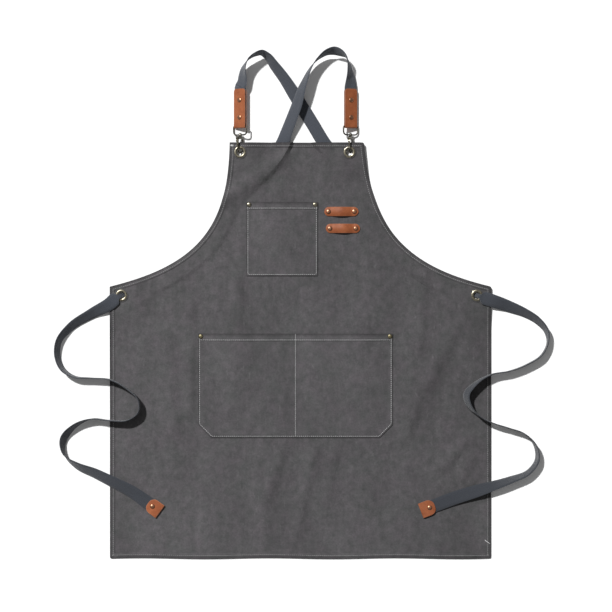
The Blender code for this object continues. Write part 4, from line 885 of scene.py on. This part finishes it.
# Paler colour for the cut edges and eased rims of the leather: partly the raw edge's own colour, partly a
# painted highlight along the rims.
LEATHER_EDGE_AND_HIGHLIGHT = leather_material("leather_cut_edge_and_highlight", (0.3, 0.12, 0.065), (0.44, 0.21, 0.13))
BRASS_LOOK = metal_material("old_brass", (0.42, 0.385, 0.29), (0.06, 0.053, 0.04), 0.24)
COPPER_LOOK = metal_material("old_copper", (0.46, 0.24, 0.14), (0.16, 0.07, 0.045), 0.34)
DULL_BRASS = metal_material("dull_brass", (0.24, 0.21, 0.13), (0.07, 0.06, 0.03), 0.36)
STEEL_LOOK = metal_material("bronze_plate", (0.2, 0.19, 0.16), (0.035, 0.033, 0.027), 0.3)
THREAD_LOOK = thread_material("cotton_thread", 1.0)
EDGE_THREAD = thread_material("grey_thread", 0.56)


def add_object(name, data):
    made = bpy.data.objects.new(name, data)
    bpy.context.scene.collection.objects.link(made)
    return made


BODIES = frame["record"]["behaviour"]["bodies"]
BODY_OF = {node: body for body, nodes in BODIES.items() for node in nodes}


def show(name, bm, material, slot, cad, angle, extra=None):
    """Makes a visible piece of a bmesh, riding on the body of the CAD node that it replaces."""
    bmesh.ops.recalc_face_normals(bm, faces=bm.faces)
    mesh = bpy.data.meshes.new(name)
    bm.to_mesh(mesh)
    bm.free()
    mesh.materials.append(material)
    if extra:
        mesh.materials.append(extra)
    mesh.shade_smooth()
    mesh.set_sharp_from_angle(angle=math.radians(angle))
    made = add_object(name, mesh)
    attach(made, BODY_OF.get(cad, "apron"))
    if cad:
        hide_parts(cad)
    return made


def refined(cad, material, slot, bevel, angle, edge_material=None, normal=None):
    """A CAD node welded, with eased edges and its own finish; cut edges get the edge material."""
    bm = bmesh.new()
    bm.from_mesh(frame["nodes"][cad].data)
    bmesh.ops.remove_doubles(bm, verts=bm.verts, dist=2e-6)
    bmesh.ops.recalc_face_normals(bm, faces=bm.faces)
    bmesh.ops.dissolve_limit(bm, angle_limit=math.radians(1.0), verts=bm.verts, edges=bm.edges)
    if edge_material:
        for face in bm.faces:
            if abs(face.normal.dot(normal)) < 0.5:
                face.material_index = 1
    made = show(cad + "_finish", bm, material, slot, cad, 60, edge_material)
    ease = made.modifiers.new("eased", "BEVEL")
    ease.width = bevel
    ease.segments = 2
    ease.limit_method = "ANGLE"
    ease.angle_limit = math.radians(angle)
    ease.use_clamp_overlap = True
    if edge_material:
        ease.material = 1


def mark_painted_edge_shade(piece, outline, width):
    """Writes how near each corner of the cloth is to its edge, as the mask for the painted shade along the
    edge.
    """
    near = piece.data.attributes.new("hem", "FLOAT", "POINT")
    for spot, vertex in zip(near.data, piece.data.vertices):
        spot.value = max(0.0, 1.0 - distance_to_outline(vertex.co.xy, outline) / width)


def strap_mesh(side):
    """The webbing as a fine ribbon with rounded edges; UV is along and across it in metres."""
    upper = [(-0.94, 1.0), (-0.5, 1.0), (0.0, 1.0), (0.5, 1.0), (0.94, 1.0), (1.0, 0.0)]
    bm = bmesh.new()
    layer = bm.loops.layers.uv.new("along")
    places = {}
    rings = []
    travelled = 0.0
    previous = STRAPS[side][0][0]
    for centre, across, front, half_width, half_thickness in STRAPS[side]:
        travelled += (centre - previous).length
        previous = centre
        rings.append([])
        for x, z in upper + [(-x, -z) for x, z in upper]:
            offset = across * half_width * x + front * half_thickness * z
            corner = bm.verts.new(centre + offset)
            places[corner] = (travelled, x * STRAP_WIDTH / 2)
            rings[-1].append(corner)
    for face in skin(bm, rings):
        for loop in face.loops:
            loop[layer].uv = places[loop.vert]
    bm.faces.new(rings[0])
    bm.faces.new(rings[-1])
    return bm


def stitch_ends(line, pitch, share):
    """The two ends of every stitch along a line."""
    lengths = [0.0]
    for a, b in zip(line, line[1:]):
        lengths.append(lengths[-1] + (b - a).length)
    total = lengths[-1]
    count = max(1, round(total / pitch))
    segment = 0
    places = []
    for i in range(2 * count):
        step, part = divmod(i, 2)
        along = (step + (0.5 - share / 2 if part == 0 else 0.5 + share / 2)) * total / count
        while segment < len(line) - 2 and lengths[segment + 1] < along:
            segment += 1
        run = (along - lengths[segment]) / max(lengths[segment + 1] - lengths[segment], 1e-9)
        places.append(line[segment].lerp(line[segment + 1], run))
    return zip(places[::2], places[1::2])


def add_stitch(bm, start, end, radius):
    """One stitch: three rings, each (share along it, size, lift), between two buried tips."""
    along = (end - start).normalized()
    side = along.cross(UPWARD).normalized()
    up = side.cross(along)
    rings = [[bm.verts.new(start - up * radius * 0.3)]]
    for share, size, lift in ((0.1, 0.75, 0.3), (0.5, 1.0, 0.85), (0.9, 0.75, 0.3)):
        centre = start.lerp(end, share) + up * radius * lift
        rings.append([])
        for x, z in circle(Vector((0, 0)), 1.0, STITCH_SIDES):
            rings[-1].append(bm.verts.new(centre + (side * x + up * 0.8 * z) * radius * size))
    rings.append([bm.verts.new(end - up * radius * 0.3)])
    skin(bm, rings)


def stitches(name, lines, height, look=THREAD_LOOK,
             pitch=STITCH_PITCH, share=STITCH_SHARE, radius=STITCH_RADIUS):
    """Separate stitches along lines on a surface, whose height is given by a function."""
    bm = bmesh.new()
    for line in lines:
        for a, b in stitch_ends(line, pitch, share):
            add_stitch(bm, Vector((a.x, a.y, height(a))), Vector((b.x, b.y, height(b))), radius)
    show(name, bm, look, "canvas", None, 60)


def pocket_surface(corner, width, height, cells, chamfer):
    """The pocket's place, underside and top as functions of shares across and up it."""
    seam = POCKET_SEAM * cells / width
    hem = 1 - POCKET_HEM / height

    def floor_at(u):
        return max(0.0, chamfer - min(u, 1 - u) * width)

    def place(u, v):
        floor = floor_at(u)
        return corner.x + width * u, corner.y - height + floor + (height - floor) * v

    def bottom(u, v):
        inner = u * cells - min(int(u * cells + TINY), cells - 1)
        across = clamp((inner - seam) / (1 - 2 * seam))
        up = rounded_step((v - 0.06) / 0.55)
        arch = math.sin(math.pi * across) ** 0.8
        x, y = place(u, v)
        crumple = noise.noise(Vector((x * 22, y * 22, 3.0))) * CRUMPLE * min(1.0, 3 * arch)
        return SEAT + POCKET_BULGE * up * arch + max(0.0, crumple * min(1.0, 4 * v))

    def top(u, v):
        return bottom(u, v) + (HEM_THICKNESS if v > hem - TINY else CANVAS)

    def height_at(point):
        u = (point.x - corner.x) / width
        floor = floor_at(u)
        return top(u, (point.y - corner.y + height - floor) / (height - floor))

    return place, bottom, top, height_at


def patch_outline(left, low, right, high, cut):
    """A rectangle with its lower corners cut off, from its upper left corner down and round."""
    return [Vector(place) for place in (
        (left, high), (left, low + cut), (left + cut, low),
        (right - cut, low), (right, low + cut), (right, high))]


def make_pocket(cad, corner, width, height, cells, chamfer):
    """A patch pocket with its turned hem and the stitches that hold it."""
    place, bottom, top, height_at = pocket_surface(corner, width, height, cells, chamfer)
    seam = POCKET_SEAM * cells / width
    open_part = [seam + (1 - 2 * seam) * k / POCKET_COLUMNS for k in range(POCKET_COLUMNS + 1)]
    inside_cell = [0.0, 0.3 * seam, *open_part, 1 - 0.3 * seam]
    across = [(cell + inner) / cells for cell in range(cells) for inner in inside_cell] + [1.0]
    if chamfer:
        across = sorted(across + [chamfer / width, 1 - chamfer / width])
    hem = 1 - POCKET_HEM / height
    levels = [hem * k / POCKET_ROWS for k in range(POCKET_ROWS)] + [hem - 0.003, hem, (1 + hem) / 2, 1.0]
    body = sheet_body(across, levels, place, top, bottom)
    cloth = show(cad + "_cloth", body, POCKET_LOOK, "canvas", cad, 25)
    low, right = corner.y - height, corner.x + width
    # Painted shade along the pocket's edges.
    mark_painted_edge_shade(cloth, patch_outline(corner.x, low, right, corner.y, max(chamfer, 0.001)), 0.0018)
    mouth = corner.y - POCKET_STITCH_TOP
    low += POCKET_STITCH_LOW
    border = patch_outline(corner.x + POCKET_STITCH_SIDE, low, right - POCKET_STITCH_SIDE, mouth,
                           chamfer * 0.95)
    hem_y = corner.y - POCKET_HEM + HEM_STITCH_LOW
    hem_row = [Vector((corner.x + HEM_STITCH_END, hem_y)), Vector((right - HEM_STITCH_END, hem_y))]
    middle = corner.x + width / 2
    lines = [border, hem_row, [Vector((middle, mouth)), Vector((middle, low))]][:cells + 1]
    stitches(cad + "_stitches", [densify(line) for line in lines], height_at)


def show_turned(cad, profile, sides, place, material, slot):
    """Shows a body turned round z from a profile of (radius, height), ring or full, in its place."""
    bm = bmesh.new()
    rings = []
    for radius, height in profile:
        ring = circle(Vector((0, 0)), radius, sides if radius else 1)
        rings.append([bm.verts.new(place @ Vector((x, y, height))) for x, y in ring])
    skin(bm, rings if len(rings[0]) == 1 else rings + rings[:1])
    show(cad + "_finish", bm, material, slot, cad, 50)


def make_rivet(cad, place, top, bottom, material, slot, back_cap=False):
    """A domed cap with a rolled rim and a small dimple, on its shank."""
    profile = [(0.0, top + RIVET_DOME - 0.16 * RIVET_DOME)]
    for step in range(1, 9):
        turn = math.pi / 2 * step / 8
        profile.append((RIVET_RADIUS * math.sin(turn), top + RIVET_DOME * (0.15 + 0.85 * math.cos(turn))))
    profile += [(RIVET_RADIUS, top), (RIVET_SHANK, top), (RIVET_SHANK, bottom)]
    if back_cap:
        back = bottom - 0.5 * RIVET_DOME
        profile += [(0.85 * RIVET_RADIUS, bottom), (0.7 * RIVET_RADIUS, back), (0.0, back)]
    else:
        profile.append((0.0, bottom))
    show_turned(cad, profile, 24, place, material, slot)


def make_grommet(name):
    """A rolled brass eyelet and its back washer."""
    front = HEM_THICKNESS + CLEARANCE
    back = -CLEARANCE
    middle = (GROMMET_RADIUS + GROMMET_HOLE_RADIUS) / 2
    reach = (GROMMET_RADIUS - GROMMET_HOLE_RADIUS) / 2
    profile = []
    for step in range(11):
        turn = math.pi * step / 10
        rise = 0.15 * GROMMET_FLANGE + 0.85 * GROMMET_FLANGE * math.sin(turn)
        profile.append((middle - reach * math.cos(turn), front + rise))
    profile += [(GROMMET_RADIUS, front), (BARREL_RADIUS, front), (BARREL_RADIUS, back),
                (GROMMET_RADIUS, back), (GROMMET_RADIUS, back - 0.5 * GROMMET_FLANGE),
                (GROMMET_HOLE_RADIUS, back - GROMMET_FLANGE)]
    place = Matrix.Translation((*GROMMETS[name], GROMMET_LIFTS[name]))
    show_turned("grommet_" + name, profile, 40, place, BRASS_LOOK, "brass")


def end_frame(side):
    """x across the strap, y out along it, z out of the face that shows, at its leather end."""
    first, across = STRAPS[side][-3][:2]
    along = (STRAPS[side][-1][0] - first).normalized()
    if across.cross(along).z < 0:
        across = -across
    return frame_from(across, along, first + along * TAB_LEAD)


def make_loop(cad, centre):
    """A leather keeper with eased edges, flat under its rivets and arched between them."""
    flat_end = LOOP_END + RIVET_RADIUS + CLEARANCE
    arch = LOOP_LENGTH / 2 - flat_end
    radius = LOOP_WIDTH / 2
    ease = LOOP_EASE
    bm = bmesh.new()
    rings = []
    reaches = [radius * (1 - math.cos(math.pi / 2 * k / 9)) for k in range(10)]
    reaches += [radius + (LOOP_LENGTH / 2 - radius) * k / 14 for k in range(1, 15)]
    reaches += [LOOP_LENGTH - r for r in reaches[-2::-1]]
    for reach in reaches:
        near = min(reach, LOOP_LENGTH - reach)
        low = SEAT + LOOP_ARCH * math.sin(clamp((near - flat_end) / arch) * math.pi / 2) ** 1.2
        high = low + LEATHER
        lack = max(0.0, radius - near)
        half = math.sqrt(max(radius ** 2 - lack ** 2, (0.12 * radius) ** 2))
        x = centre.x + reach - LOOP_LENGTH / 2
        rings.append([bm.verts.new((x, centre.y + dy, z)) for dy, z in (
            (-half, low + ease), (-half + ease, low), (half - ease, low), (half, low + ease),
            (half, high - ease), (half - ease, high), (-half + ease, high), (-half, high - ease))])
    # The sides and eased rims take the paler edge colour, which is partly a painted highlight.
    for k, face in enumerate(skin(bm, rings)):
        face.material_index = 0 if k % 8 in (1, 5) else 1
    for ring in (rings[0], rings[-1]):
        bm.faces.new(ring).material_index = 1
    show(cad + "_finish", bm, LEATHER_LOOK, "leather", cad, 60, LEATHER_EDGE_AND_HIGHLIGHT)


# The canvas body, its edge stitches, the bar tack at the bib's corner and a loose end of thread
CANVAS_PIECE = show("canvas_body", panel_mesh(), CANVAS_LOOK, "canvas", "apron_panel", 30)
# Painted shade along the canvas edge.
mark_painted_edge_shade(CANVAS_PIECE, OUTLINE, 0.003)
AREA = abs(sum(a.cross(b) for a, b in around(OUTLINE))) / 2
EDGE_LINE = inset(OUTLINE, EDGE_STITCH)
stitches("canvas_edge_stitches", [densify(EDGE_LINE + EDGE_LINE[:1])], panel_top, EDGE_THREAD)
TACK_LEFT = Vector((BIB_LEFT + 0.001, BIB_HEIGHT - 0.0066))
TACK_STEP = UP * 0.0007
TACK_LENGTH = 0.0064
TACK_STARTS = [TACK_LEFT + TACK_STEP * k for k in range(4)]
TACK_ROWS = [[start, start + RIGHT * TACK_LENGTH] for start in TACK_STARTS]
stitches("corner_tack", TACK_ROWS, panel_top, THREAD_LOOK, TACK_LENGTH, 0.94, 0.0005)
THREAD_END = [Vector(place) for place in (
    (0.328, -0.4515), (0.3312, -0.4532), (0.3345, -0.4566), (0.3385, -0.459))]
stitches("loose_thread", [THREAD_END], lambda point: panel_top(point) + CLEARANCE, THREAD_LOOK,
         0.0125, 0.98, 0.0006)

for name, facts in POCKETS.items():
    make_pocket(name, *facts)
for name, centre in LOOPS.items():
    make_loop(name, centre)
for name in GROMMETS:
    make_grommet(name)
for name, centre in RIVETS.items():
    spot = Matrix.Translation((centre.x, centre.y, 0.0))
    if "pocket" in name:
        look = DULL_BRASS if "lower" in name else BRASS_LOOK
        make_rivet(name, spot, SEAT + HEM_THICKNESS + CLEARANCE, CLEARANCE, look, "brass")
    else:
        make_rivet(name, spot, SEAT + LEATHER + CLEARANCE, CLEARANCE, COPPER_LOOK, "copper")

# Straps with their leather, rivets and hooks. Shares are of the tabs' lengths
TAB_RIVETS = (("lower", 0.24), ("upper", 0.7))
END_RIVET = 0.36
TAB_EASE = 0.0006
METAL_EASE = 0.0002
HOOK_PIECES = (
    ("strap_eye_", STEEL_LOOK, "gunmetal"), ("hook_body_", STEEL_LOOK, "gunmetal"),
    ("hook_gate_", BRASS_LOOK, "brass"), ("gate_pin_", STEEL_LOOK, "gunmetal"),
)
for side in SIDES:
    show("webbing_from_%s_hook" % side, strap_mesh(side), WEBBING_LOOK, "webbing",
         "strap_from_%s_hook" % side, 60)
    face_out = tab_frame(side).to_3x3() @ UPWARD
    refined("hook_tab_" + side, LEATHER_LOOK, "leather", TAB_EASE, 30, LEATHER_EDGE_AND_HIGHLIGHT, face_out)
    outer = PLY_HALF_GAP + TAB_LEATHER + CLEARANCE
    for label, share in TAB_RIVETS:
        spot = tab_frame(side) @ Matrix.Translation((0.0, share * TAB_LENGTH, 0.0))
        make_rivet("hook_tab_%s_rivet_%s" % (side, label), spot, outer, -outer, COPPER_LOOK, "copper", True)
    end = "end_tab_" + OTHER_SIDE[side]
    refined(end, LEATHER_LOOK, "leather", TAB_EASE, 30, LEATHER_EDGE_AND_HIGHLIGHT, UPWARD)
    spot = end_frame(side) @ Matrix.Translation((0.0, END_RIVET * END_TAB_LENGTH, 0.0))
    make_rivet(end + "_rivet", spot, outer, -PLY_HALF_GAP - TAB_LEATHER + CLEARANCE, COPPER_LOOK, "copper")
    for cad, look, slot in HOOK_PIECES:
        refined(cad + side, look, slot, METAL_EASE, 35)

# Stage: a pale paper floor, one soft sun, even light all round and a camera straight above
FLOOR_REACH = 6
FLOOR_LEVEL = -0.0004
CAMERA_PLACE = (0.0098, -0.0345, 4.0)
VIEW_WIDTH = 1.0924
floor_mesh = bpy.data.meshes.new("studio_floor")
corners = [(x * FLOOR_REACH, y * FLOOR_REACH, FLOOR_LEVEL) for x, y in ((-1, -1), (1, -1), (1, 1), (-1, 1))]
floor_mesh.from_pydata(corners, [], [(0, 1, 2, 3)])
floor_mesh.materials.append(Look("studio_paper").finish(Base_Color=(0.9, 0.9, 0.9), Roughness=0.9))
floor = add_object("studio_floor", floor_mesh)

world = bpy.data.worlds.new("studio")
bpy.context.scene.world = world
world.use_nodes = True
sky = world.node_tree.nodes["Background"].inputs
sky["Color"].default_value = (1.0, 1.0, 1.0, 1.0)
sky["Strength"].default_value = 0.25

sun = bpy.data.lights.new("key", "SUN")
sun.energy = 4.05
sun.angle = math.radians(3.5)
key = add_object("key", sun)
key.rotation_euler = Vector((0.45, -0.54, -1.0)).to_track_quat("-Z", "Y").to_euler()

lens = bpy.data.cameras.new("camera")
lens.sensor_width = 36.0
lens.lens = lens.sensor_width * CAMERA_PLACE[2] / VIEW_WIDTH
camera = add_object("camera", lens)
camera.location = CAMERA_PLACE
bpy.context.scene.camera = camera
bpy.context.scene.view_settings.view_transform = "Standard"
